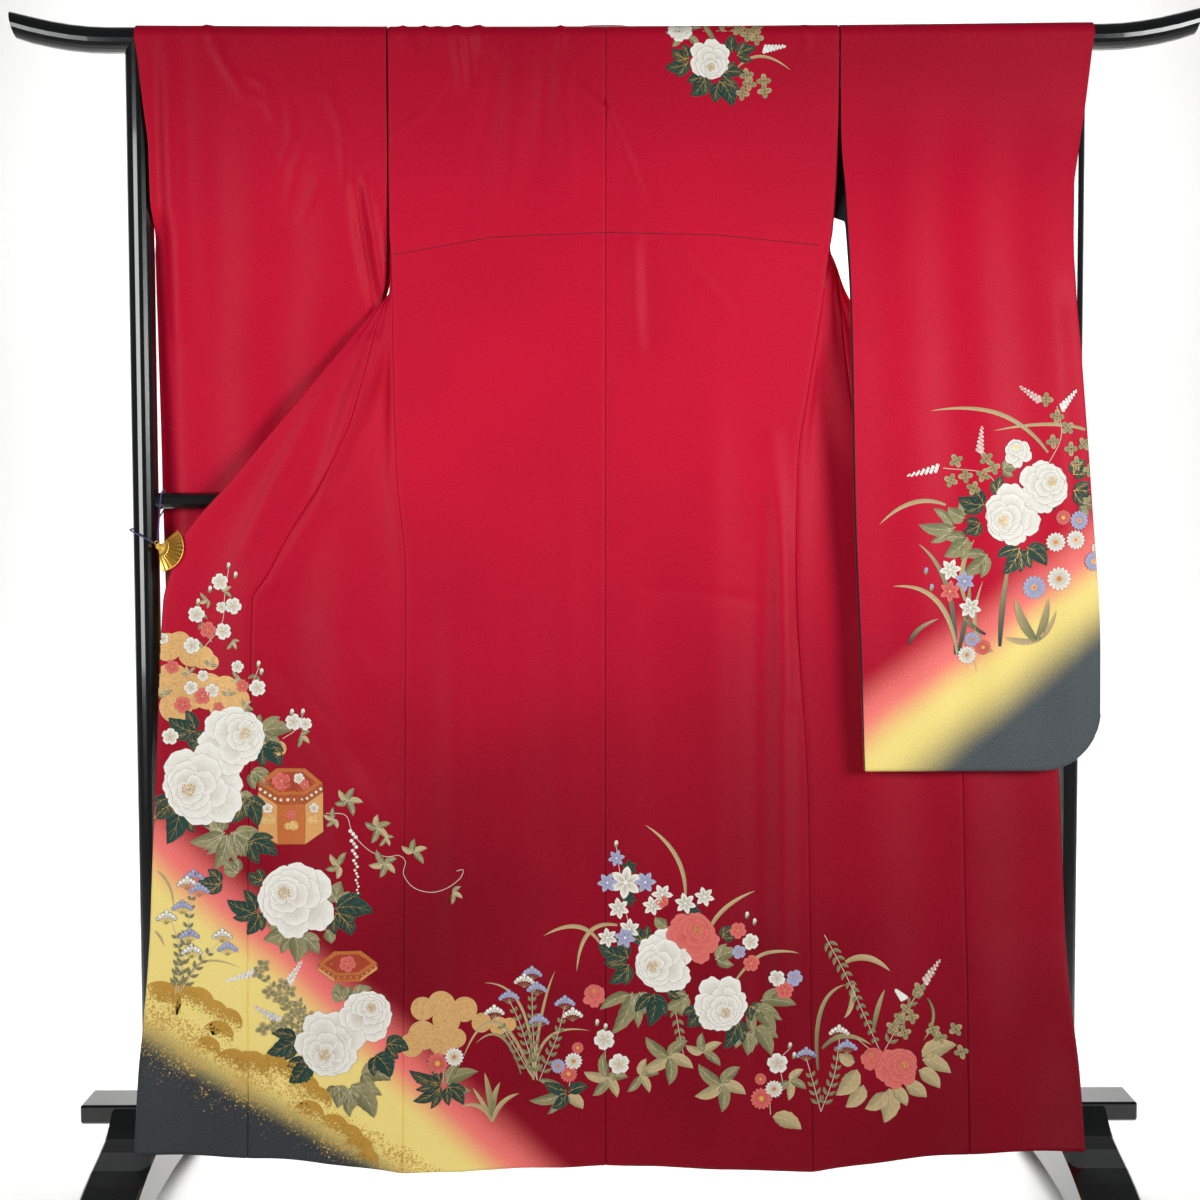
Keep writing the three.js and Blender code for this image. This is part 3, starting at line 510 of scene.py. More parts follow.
def front_point(name, level, share):
    """A point of a front body, at a share of the way from its side seam to its free edge."""
    side = SIDES[name]
    rows = FRONT_ROWS[name]
    at_seam, at_middle, at_corner = FRONT_HEM[name]
    gathered = bell((level - GATHER_HEIGHT) / 0.062)
    spread = smooth((SPREAD_TOP - level) / 0.240)
    bend = lerp(1, 2.2, smooth((0.460 - level) / 0.300))
    seam_x, seam_y = seam_point(name, level)
    edge_x, edge_y = rows("edge_x", level), rows("edge_y", level)
    middle = rows("share", level)
    hem = np.where(
        share < middle, lerp(at_seam, at_middle, share / middle),
        lerp(at_middle, at_corner, (share - middle) / np.maximum(0.05, 1 - middle)))
    ends = np.clip(np.sin(math.pi * share), 0, 1) ** 0.6
    room = np.clip(np.abs(edge_x - seam_x) / 0.060, 0.12, 1)
    pleats = GATHER_DEPTH * room * gathered * ends * np.sin(2 * math.pi * GATHERS * share)
    bulge = GATHER_BULGE * room * gathered * np.sin(math.pi * share)
    wave = CURTAIN_DEPTH * spread * ends * np.sin(2 * math.pi * CURTAIN_FOLDS * share + 0.8)
    run = np.hypot(edge_x - seam_x, edge_y - seam_y)
    out_x = -(edge_y - seam_y) / run * side
    out_y = (edge_x - seam_x) / run * side
    hollow = VALLEY[name] * smooth((1.245 - level) / 0.090) * smooth((level - 0.800) / 0.330)
    opened = smooth((SPREAD_TOP - level) / 0.200)
    valley = bell((share - VALLEY_PLACE - 0.10 * opened) / (0.10 + 0.08 * opened))
    hollow = hollow * valley * smooth(share / 0.08)
    x = lerp(seam_x, edge_x, share) + side * bulge + out_x * (pleats + wave)
    y = lerp(seam_y, edge_y, share ** bend) + out_y * (pleats + wave) + hollow
    return stacked(x, y, turned_to_hem(level, hem))


def front_surface(name, step):
    side = SIDES[name]
    rows = FRONT_ROWS[name]
    shares = across(0.27, step)
    shoulder, _ = seam_point(name, SHOULDER)
    inner = lerp(side * NECK_HALF, rows("edge_x", SHOULDER), RAIL_TURNS / math.pi * 2)
    over = over_rail(lerp(shoulder, inner, shares), RAIL_TURNS, 1)
    level = levels_between(SHOULDER, LOWEST, step)[1:]
    return np.concatenate((over, front_point(name, level, shares * rows("share", level))))


def overlap_surface(name, step):
    rows = FRONT_ROWS[name]
    level = levels_between(OVERLAP_TOP, LOWEST, step)
    seam_x, seam_y = seam_point(name, level)
    run = np.hypot(rows("edge_x", level) - seam_x, rows("edge_y", level) - seam_y)
    parted = 2 * SEAM + 0.4 * MM * bell((level - 1.295) / 0.060)
    return front_point(name, level, lerp(rows("share", level) + parted / run, 1, across(0.15, step)))


def sleeve_surface(name, step):
    """One panel folded over the rail: up the far layer from the bottom, over, and down the near one."""
    side = SIDES[name]
    rows = SLEEVE_ROWS[name]
    bottom, corner, mouth = SLEEVE_CUT[name]
    shares = across(0.33, step)

    def place(z, layer):
        inner = rows("inner", z)
        if layer > 0:
            inner = inner - SLEEVE_TONGUE[name] * smooth((1.518 - z) / 0.085) * smooth((z - 1.398) / 0.012)
        x = lerp(inner, rows("near_outer" if layer < 0 else "far_outer", z), shares)
        near, far = rows("near", z), rows("far", z)
        sewn = smooth((mouth - z) / 0.060) * smooth((shares - 0.88) / 0.12)
        thin = lerp((far - near) / 2, 1.3 * MM, sewn)
        fold = SLEEVE_FOLD_DEPTH * np.sin(math.pi * shares) * smooth((1.6 - z) / 0.2)
        fold = fold * smooth((z - 0.640) / 0.100)
        wave = fold * np.sin(2 * math.pi * SLEEVE_FOLDS * shares + (0 if layer < 0 else 1.2))
        return x, (near + far) / 2 + layer * thin + wave * (1 - sewn)

    def bottom_at(x):
        reach = np.abs(x) - (abs(rows("near_outer", bottom)) - corner)
        drop = np.sqrt(np.clip(corner ** 2 - np.clip(reach, 0, None) ** 2, 0, None))
        return bottom + corner - drop

    def layer_rows(layer):
        z = levels_between(SHOULDER, SLEEVE_HEM_START - SLEEVE_HEM_RUN, step)[1:]
        x, y = place(z, layer)
        low = np.minimum(bottom_at(x), bottom + corner)
        share = np.clip((SLEEVE_HEM_START - z) / SLEEVE_HEM_RUN, 0, 1)
        share = np.where(share > 0.999, 0.985, share)
        height = np.where(z > SLEEVE_HEM_START, z, lerp(SLEEVE_HEM_START, low, share))
        return stacked(x, y, height)

    x_near, y_near = place(np.array([[bottom]]), -1)
    y_far = place(np.array([[bottom]]), 1)[1]
    seam = stacked(x_near, (y_near + y_far) / 2, np.minimum(bottom_at(x_near), bottom + corner * 0.97))
    turns = np.linspace(math.pi / 2, -math.pi / 2, 27)[:, None]
    line = lerp(rows("inner", SHOULDER), rows("near_outer", SHOULDER) + side * 3 * MM, shares)
    over = stacked(
        line + 0 * turns, DRAPE_RADIUS * np.sin(turns), rail_axis(line) + DRAPE_RADIUS * np.cos(turns))
    return np.concatenate((seam, layer_rows(1)[::-1], over, layer_rows(-1), seam))


def collar_leg(name, level, shares):
    """The band lies edge to edge with the front behind the rail, and is turned in behind it below."""
    side = SIDES[name]
    rows = FRONT_ROWS[name]
    folded = smooth((1.420 - level) / 0.090)
    slant = lerp(1.24, 1, smooth((1.300 - level) / 0.120))
    width = COLLAR_WIDTH * lerp(slant, 0.75, smooth((SPREAD_TOP - level) / 0.240))
    x = rows("edge_x", level) - side * lerp(1 * MM, 0, folded)
    y = rows("edge_y", level) + lerp(0, 4.2 * MM, folded)
    return stacked(x - side * width * shares, y + 2.4 * MM * folded * shares, level)


def behind_rail(x, drop):
    """A point behind the rail, "drop" along the cloth from the rail's top."""
    quarter = NECK_RADIUS * math.pi / 2
    point = over_rail(x, np.minimum(drop, quarter) / NECK_RADIUS, 1, NECK_RADIUS)
    point[..., 2] -= np.maximum(0, drop - quarter)
    return point


def collar_surface(step):
    shares = across(COLLAR_WIDTH, step)
    angle = np.radians(np.linspace(-90, 90, 33))[:, None]
    bend = 1 - np.cos(angle)
    outer_x, outer_drop = (NECK_HALF - 1 * MM) * np.sin(angle), 0.8 * MM + 34 * MM * np.abs(bend) ** 1.5
    inner_x, inner_drop = 16 * MM * np.sin(angle), 74 * MM + 22 * MM * bend
    neck = behind_rail(lerp(outer_x, inner_x, shares), lerp(outer_drop, inner_drop, shares))
    level = levels_between(1.580, COLLAR_END, step)
    legs = {name: collar_leg(name, level, shares) for name in SIDES}
    join = smooth(np.linspace(0, 1, 8)[1:-1])[:, None, None]
    left = lerp(legs["left"][:1], neck[:1], join)
    right = lerp(neck[-1:], legs["right"][:1], join)
    return np.concatenate((legs["left"][::-1], left, neck, right, legs["right"]))[:, ::-1]


def on_silk(right, down):
    """Where a pixel of the front view lies on the silk, to the nearest millimetre."""
    x = PIXEL_WIDTH * (right - VIEW_MIDDLE) - VIEW_SHIFT - VIEW_LEAN * down
    return np.array([round(x), round(VIEW_TOP - PIXEL_HEIGHT * down)]) * MM


def pressed(rows):
    """Creases whose places are given as pixels of the front view."""
    return [(depth, width, *(on_silk(*pixel) for pixel in route)) for depth, width, *route in rows]


# Creases pressed into the hanging silk: how far each stands out (or, below zero, sinks in) and its half
# width, both in millimetres, and the places that it runs through, as x and z where they aren't pixels.
SLEEVE_LEFT_CREASES = pressed([
    (3.5, 4, (207, 18), (225, 61), (249, 101)),
    (2, 3.5, (248, 80), (268, 87), (275, 106), (279, 123)),
    (1.6, 3, (256, 101), (270, 108), (278, 125)),
    (2, 4, (294, 113), (296, 142), (285, 165)),
    (2, 4.5, (310, 146), (299, 165), (289, 208)),
    (1.8, 4.5, (322, 182), (315, 200), (303, 222)),
    (2.2, 5, (332, 99), (346, 132), (348, 165), (348, 196)),
]) + [
    (5.0, 7, (-0.338, 1.455), (-0.328, 1.400), (-0.318, 1.330), (-0.312, 1.295)),
    (-7.0, 9, (-0.352, 1.450), (-0.344, 1.385), (-0.334, 1.320), (-0.327, 1.280)),
    (4.0, 14, (-0.612, 1.633), (-0.610, 1.491), (-0.608, 1.250)),
    (-2.5, 8, (-0.628, 1.633), (-0.627, 1.491), (-0.625, 1.250)),
    (1.5, 18, (-0.568, 1.661), (-0.568, 1.491), (-0.565, 1.250)),
]
BODY_CREASES = pressed([
    (4, 6, (456, 17), (460, 50), (464, 90)),
    (-3, 5, (466, 17), (470, 50), (474, 84)),
    (3.5, 6, (474, 18), (484, 44), (494, 64)),
    (2.5, 4, (402, 18), (405, 34), (408, 50)),
    (-2, 4, (412, 18), (416, 30), (420, 42)),
    (2.5, 4, (420, 18), (426, 32), (430, 44)),
    (1.5, 5, (436, 18), (440, 34), (444, 50)),
    (2, 5, (395, 142), (412, 128), (428, 116), (452, 78)),
    (2.5, 4, (560, 17), (561, 36), (562, 60)),
    (-2, 12, (549, 60), (545, 100), (540, 180)),
    (1.5, 12, (562, 60), (566, 110), (570, 200)),
    (2.8, 4.5, (569, 79), (588, 98), (605, 112), (622, 150), (642, 202)),
    (-2, 5, (576, 80), (596, 98), (612, 114), (630, 150), (648, 196)),
    (2.2, 4, (664, 241), (698, 278), (731, 317)),
    (-1.2, 7, (640, 232), (660, 250), (694, 290)),
    (2, 10, (632, 244), (633, 290), (636, 350)),
    (-1.5, 9, (646, 244), (647, 290), (650, 350)),
    (-2, 16, (500, 70), (488, 130), (470, 220)),
    (2, 16, (520, 60), (515, 140), (505, 220)),
    (1.5, 4, (802, 18), (803, 36), (803, 60)),
    (-1, 8, (400, 590), (480, 600), (560, 592)),
    (-1.2, 8, (640, 588), (700, 592), (780, 606)),
    (1, 7, (410, 607), (470, 598), (540, 600)),
    (3, 14, (770, 440), (782, 560), (790, 700)),
])
# Folds that run on over the fronts and the back.
DRAPE_CREASES = [
    (6.5, 15, (-0.325, 1.230), (-0.356, 1.151), (-0.403, 1.010), (-0.470, 0.896)),
    (2.5, 11, (-0.345, 1.235), (-0.405, 1.151), (-0.468, 1.040), (-0.520, 0.930)),
    (3.2, 17, (-0.489, 0.741), (-0.421, 0.663), (-0.351, 0.585), (-0.294, 0.528)),
    (-3.0, 14, (-0.462, 0.769), (-0.393, 0.691), (-0.315, 0.606)),
    (-2.6, 12, (-0.506, 0.698), (-0.450, 0.599), (-0.393, 0.514)),
    (2.6, 18, (-0.400, 0.830), (-0.330, 0.760), (-0.262, 0.700)),
    (2.2, 20, (0.395, 0.980), (0.372, 0.820), (0.366, 0.640)),
]
TUCK = Table("x z", [(0.330, 1.362), (0.155, 1.380), (0, 1.384), (-0.160, 1.378), (-0.310, 1.352)])
TUCK_DEPTH = 1.3 * MM
CREASE = 1.5                   # how much the pressed creases have opened


def crease_height(creases, x, z):
    """How far the creases lift the silk at x and z."""
    total = 0
    for depth, width, *route in creases:
        stops = np.array(route)
        nearest = np.full(np.broadcast(x, z).shape, np.inf)
        along = np.zeros(nearest.shape)
        count = len(stops) - 1
        for k, (start, end) in enumerate(zip(stops, stops[1:])):
            run = end - start
            t = np.clip(((x - start[0]) * run[0] + (z - start[1]) * run[1]) / (run @ run), 0, 1)
            away = np.hypot(x - start[0] - t * run[0], z - start[1] - t * run[1])
            along = np.where(away < nearest, (k + t) / count, along)
            nearest = np.minimum(nearest, away)
        fade = 0.25 + 0.75 * np.clip(np.sin(math.pi * (0.12 + 0.8 * along)), 0, 1)
        if depth < 0:
            fade = fade * smooth((1.690 - z) / 0.060)
        total = total + CREASE * depth * MM * fade * bell(nearest / (width * MM))
    return total


def tuck_height(x, z):
    """The pressed tuck across the back: the upper cloth steps out over the lower."""
    below = TUCK("z", x) - z
    return TUCK_DEPTH * np.where(below > 0, -np.exp(-below / (6 * MM)), 0.35 * np.exp(below / (9 * MM)))


def grid_normals(points):
    return unit(np.cross(np.gradient(points, axis=1), np.gradient(points, axis=0)))


def rolled(points):
    """Turns both edges of a panel in behind it, as at a sewn seam."""
    run = np.linalg.norm(np.diff(points, axis=1), axis=2)
    from_left = np.concatenate((0 * run[:, :1], np.cumsum(run, axis=1)), axis=1)
    from_right = from_left[:, -1:] - from_left
    depth = np.clip(1 - from_left / ROLL, 0, 1) ** 2 + np.clip(1 - from_right / ROLL, 0, 1) ** 2
    return points - grid_normals(points) * (ROLL_DEPTH * depth)[..., None]


def lifted(points, height):
    """Moves the near side's points outwards by a height that depends on x and z."""
    normal = grid_normals(points)
    near = smooth((-0.1 - normal[..., 1]) / 0.6)
    return points + normal * (near * height(points[..., 0], points[..., 2]))[..., None]


# ---------------------------------------------------------------- making pieces

def deselect():
    if bpy.context.object and bpy.context.object.mode != "OBJECT":
        bpy.ops.object.mode_set(mode="OBJECT")
    bpy.ops.object.select_all(action="DESELECT")


def only(piece):
    deselect()
    piece.select_set(True)
    bpy.context.view_layer.objects.active = piece


def apply_modifier(piece, kind, **options):
    only(piece)
    modifier = piece.modifiers.new(kind.title(), kind)
    for key, value in options.items():
        setattr(modifier, key, value)
    bpy.ops.object.modifier_apply(modifier=modifier.name)


def in_edit_mode(piece, operator, **options):
    """Runs a mesh operator on all of a piece."""
    only(piece)
    bpy.ops.object.mode_set(mode="EDIT")
    bpy.ops.mesh.select_all(action="SELECT")
    operator(**options)
    bpy.ops.object.mode_set(mode="OBJECT")


def new_piece(name, points, faces, look):
    mesh = bpy.data.meshes.new(name)
    mesh.from_pydata(points.tolist(), [], faces)
    mesh.materials.append(look)
    piece = bpy.data.objects.new(name, mesh)
    bpy.context.scene.collection.objects.link(piece)
    return piece


def finish_piece(piece, slot, *nodes):
    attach(piece, BODY)
    if nodes:
        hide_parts(*nodes)


def silk_sheet(node, points, flat, looks, closed=False):
    """A grid of silk threads moved onto a surface and walled, in a node's place. It has its cloth
    coordinates in metres."""
    rows, columns = points.shape[:2]
    deselect()
    bpy.ops.mesh.primitive_grid_add(x_subdivisions=columns - 1, y_subdivisions=rows - 1, size=1)
    piece = bpy.context.object
    piece.name = piece.data.name = "silk_" + node
    mesh = piece.data
    start = np.empty(len(mesh.vertices) * 3)
    mesh.vertices.foreach_get("co", start)
    start = start.reshape(-1, 3)
    column = np.rint((start[:, 0] + 0.5) * (columns - 1)).astype(int)
    row = np.rint((start[:, 1] + 0.5) * (rows - 1)).astype(int)
    mesh.vertices.foreach_set("co", points[row, column].ravel())
    layer = mesh.uv_layers.active
    layer.name = "Cloth"
    spread = np.empty(len(mesh.loops) * 2)
    layer.data.foreach_get("uv", spread)
    layer.data.foreach_set("uv", (spread.reshape(-1, 2) * np.array(flat)).ravel())
    mesh.update()
    for look in looks:
        mesh.materials.append(look)
    if closed:
        in_edit_mode(piece, bpy.ops.mesh.remove_doubles, threshold=0.01 * MM)
    apply_modifier(
        piece, "SOLIDIFY", thickness=settings("silk").wall, offset=0, use_even_offset=True,
        material_offset=1, material_offset_rim=0)
    mesh.shade_smooth()
    finish_piece(piece, "silk", node)
    return piece


# ---------------------------------------------------------------- materials

def below_line(x, z, line):
    """Distance under a slanting line."""
    (start_x, start_z), (end_x, end_z) = line
    run = Vector((end_x - start_x, end_z - start_z)).normalized()
    return (x - start_x) * run[1] - (z - start_z) * run[0]


# The slanting lines that the dyed bands follow, each from one place to another, as x and z.
GOLD_LINE = ((-0.634, 0.529), (-0.178, 0.116))
DARK_LINE = ((-0.649, 0.268), (-0.352, 0.088))
SLEEVE_LINE = ((0.361, 0.705), (0.643, 0.925))


def silk_look(name, dye):
    """Dyed silk crepe, darkened towards the hem and the rail by painted shade; "dye" mixes the fading bands
    into the crimson.
    """
    silk = settings("silk")
    look = Look(
        name, Sheen_Weight=0.07, Sheen_Roughness=0.35, Sheen_Tint=(1, 0.20, 0.30, 1),
        Specular_IOR_Level=0.16)
    x, _, z = look.axes()
    grain = crepe(look, look.cloth(), 0.8)
    drift = look.noise(look.place(), 3.5, 2.0)
    mottle = look.noise(look.cloth(), 420, 1.0)
    # Painted shade: darker towards the hem and towards the rail, where the light falls off, plus a little
    # random drift of the dye.
    deep = z.rise(1.16, 0.34) * 0.84 + z.rise(1.36, 1.70) * 0.42 + drift.rise(0.3, 0.7) * 0.16
    base = look.mix(deep, silk.crimson, silk.shaded_crimson)
    base = dye(look, base, x, z, drift)
    base = look.mix(mottle.rise(0.35, 0.65) * 0.30, base, (1, 1, 1), "SOFT_LIGHT")
    return look.finish(Base_Color=base, Roughness=0.42 + 0.16 * grain)


def plain_dye(look, base, x, z, drift):
    return base


def dye_bands(look, base, depth):
    """Crimson that fades to coral and then to pale gold, "depth" metres past the middle of the coral."""
    silk = settings("silk")
    coral = look.mix(depth.rise(-0.050, 0.012), base, silk.coral)
    return look.mix(depth.rise(0.004, 0.058), coral, silk.yellow)


def body_dye(look, base, x, z, drift):
    silk = settings("silk")
    wander = (drift - 0.5) * 0.04
    gold = below_line(x, z, GOLD_LINE)
    dark = below_line(x, z, DARK_LINE) + wander
    bands = dye_bands(look, base, gold + wander)
    bands = look.mix(dark.rise(-0.022, 0.030), bands, silk.charcoal)
    grains = look.noise(look.place(), 300, 3.0, 0.65)
    thin = look.noise(look.place(), 28, 2.0)
    dense = dark.rise(0.100, -0.020) * dark.rise(-0.060, -0.020) * 0.30 + thin * 0.26
    return look.mix((dense - grains + 0.06).rise(-0.02, 0.03), bands, (0.66, 0.40, 0.10))


def sleeve_dye(look, base, x, z, drift):
    silk = settings("silk")
    reach = x.math("ABSOLUTE")
    wander = (drift - 0.5) * 0.05
    depth = below_line(reach, z, SLEEVE_LINE)
    bands = dye_bands(look, base, depth + wander)
    return look.mix((depth + wander).rise(0.062, 0.140), bands, silk.slate)


def dark_below(height):
    """Says where a lining is dark: below a height."""
    return lambda x, z: z.rise(height, height - 20 * MM)


def lining_look(name, dark_places, dark=None):
    """Plain silk inside; "dark_places" gives how much of the charcoal lining, or of "dark", shows."""
    silk = settings("silk")
    look = Look(name, Sheen_Weight=0.15, Specular_IOR_Level=0.35)
    x, _, z = look.axes()
    grain = crepe(look, look.cloth(), 0.35)
    base = look.mix(dark_places(x, z), silk.lining, dark or silk.hem_lining)
    return look.finish(Base_Color=base, Roughness=0.5 + 0.15 * grain)


def motif_look():
    """Dye and fine gold lines on the silk, in the colours that the motifs carry."""
    look = Look("dyed_motifs", Sheen_Weight=0.1, Specular_IOR_Level=0.35)
    vector = look.place()
    grain = crepe(look, vector, 0.35)
    shade = look.noise(vector, 130, 2.0)
    base = look.mix(shade.rise(0.35, 0.75) * 0.14, look.attribute("Tint"), (0.45, 0.40, 0.33), "MULTIPLY")
    gilt = Value(look, look.attribute("Tint", "Alpha"))
    grains = look.noise(vector, 330, 3.0, 0.65)
    base = look.mix(grains.rise(0.52, 0.58) * gilt * 1.6, base, (0.55, 0.30, 0.08))
    return look.finish(Base_Color=base, Metallic=gilt * 0.8, Roughness=0.5 + 0.15 * grain - 0.2 * gilt)


def dust_look():
    """Gold dust, thicker where its shapes say so."""
    look = Look("gold_dust", Specular_IOR_Level=0.4)
    vector = look.place()
    cover = Value(look, look.attribute("Cover", "Fac"))
    grains = look.noise(vector, 430, 2.0)
    crepe(look, vector, 0.3)
    return look.finish(
        Base_Color=look.attribute("Tint"), Metallic=0.1 + 0.2 * grains, Roughness=0.4 + 0.2 * grains,
        Alpha=(cover * 0.50 - grains + 0.20).rise(-0.03, 0.03))


def lacquer_look():
    rack = settings("rack")
    look = Look("black_lacquer", Coat_Weight=0.6, Coat_Roughness=0.05, Specular_IOR_Level=0.6)
    vector = look.place()
    cloud = look.noise(vector, 9, 3.0)
    dust = look.noise(vector, 420, 2.0)
    look.bump(cloud * 0.8 + dust * 0.2, 0.06, 0.8 * MM)
    return look.finish(
        Base_Color=look.mix(cloud * 0.5, rack.lacquer, (0.012, 0.014, 0.016)),
        Roughness=rack.gloss + 0.10 * cloud + 0.05 * dust.rise(0.55, 0.8))


def gilt_look():
    rack = settings("rack")
    look = Look("brushed_gilt")
    vector = look.place()
    brushed = look.noise(look.stretched(vector, (300, 300, 2600)), 1.0, 2.0)
    worn = look.noise(vector, 60, 3.0)
    look.bump(brushed, 0.12, 0.2 * MM)
    return look.finish(
        Base_Color=look.mix(worn.rise(0.45, 0.75) * 0.5, rack.gilt, (0.42, 0.26, 0.09)),
        Metallic=0.95 - 0.1 * worn, Roughness=0.24 + 0.2 * brushed)


def plait_look():
    rack = settings("rack")
    look = Look("plaited_silk", Sheen_Weight=0.4)
    vector = look.place()
    strand = look.noise(look.stretched(vector, (900, 900, 2400)), 1.0, 1.0)
    look.bump(strand, 0.6, 0.4 * MM)
    return look.finish(
        Base_Color=look.mix(strand.rise(0.35, 0.65), rack.plait, (0.16, 0.10, 0.30)),
        Roughness=0.6 + 0.2 * strand)


# ---------------------------------------------------------------- dyed motifs

LINE = 0.75 * MM               # width of the outlines
LIFT = 0.32 * MM               # how far the lowest motifs stand off the silk
LAYER = 0.022 * MM             # and each layer above them
MOTIF_WALL = 0.10 * MM
SEAM_REACH = (0, -3.2 * MM, 3.2 * MM)   # a motif bridges a seam's groove as wide as this
MOTIF_STEP = 7 * MM            # the widest mesh step in a motif, so that it follows the folds


def tint(name, gilt=0.0, shade=1.0):
    return np.array([*(channel * shade for channel in getattr(settings("motifs"), name)), gilt])


def fixed(red, green, blue, gilt=0.0):
    return np.array([*linear(red, green, blue), gilt])


# The fine outline and the heart of the petals of each colour.
OUTLINES = {"white": fixed(134, 112, 88), "coral": fixed(150, 44, 48), "lilac": fixed(116, 116, 156)}
HEARTS = {"white": fixed(204, 196, 172), "coral": fixed(210, 80, 78), "lilac": fixed(154, 156, 196)}


def turned(angle):
    """One step in a direction."""
    return np.array([math.cos(angle), math.sin(angle)])


def bowed(start, middle, end, count):
    """A smooth curve that leaves start, leans on middle and ends at end."""
    t = np.linspace(0, 1, count)[:, None]
    knee = 2 * middle - (start + end) / 2
    return (1 - t) ** 2 * start + 2 * t * (1 - t) * knee + t * t * end


def through(points, step=4 * MM):
    """A curve through points, with a vertex about every step."""
    ends = np.concatenate((2 * points[:1] - points[1:2], points, 2 * points[-1:] - points[-2:-1]))
    parts = []
    for a, b, c, d in zip(ends, ends[1:], ends[2:], ends[3:]):
        t = np.linspace(0, 1, max(3, round(float(np.linalg.norm(c - b)) / step)))[:-1, None]
        parts.append(b + 0.5 * t * (c - a + t * (2 * a - 5 * b + 4 * c - d + t * (3 * (b - c) + d - a))))
    return np.concatenate((*parts, points[-1:]))


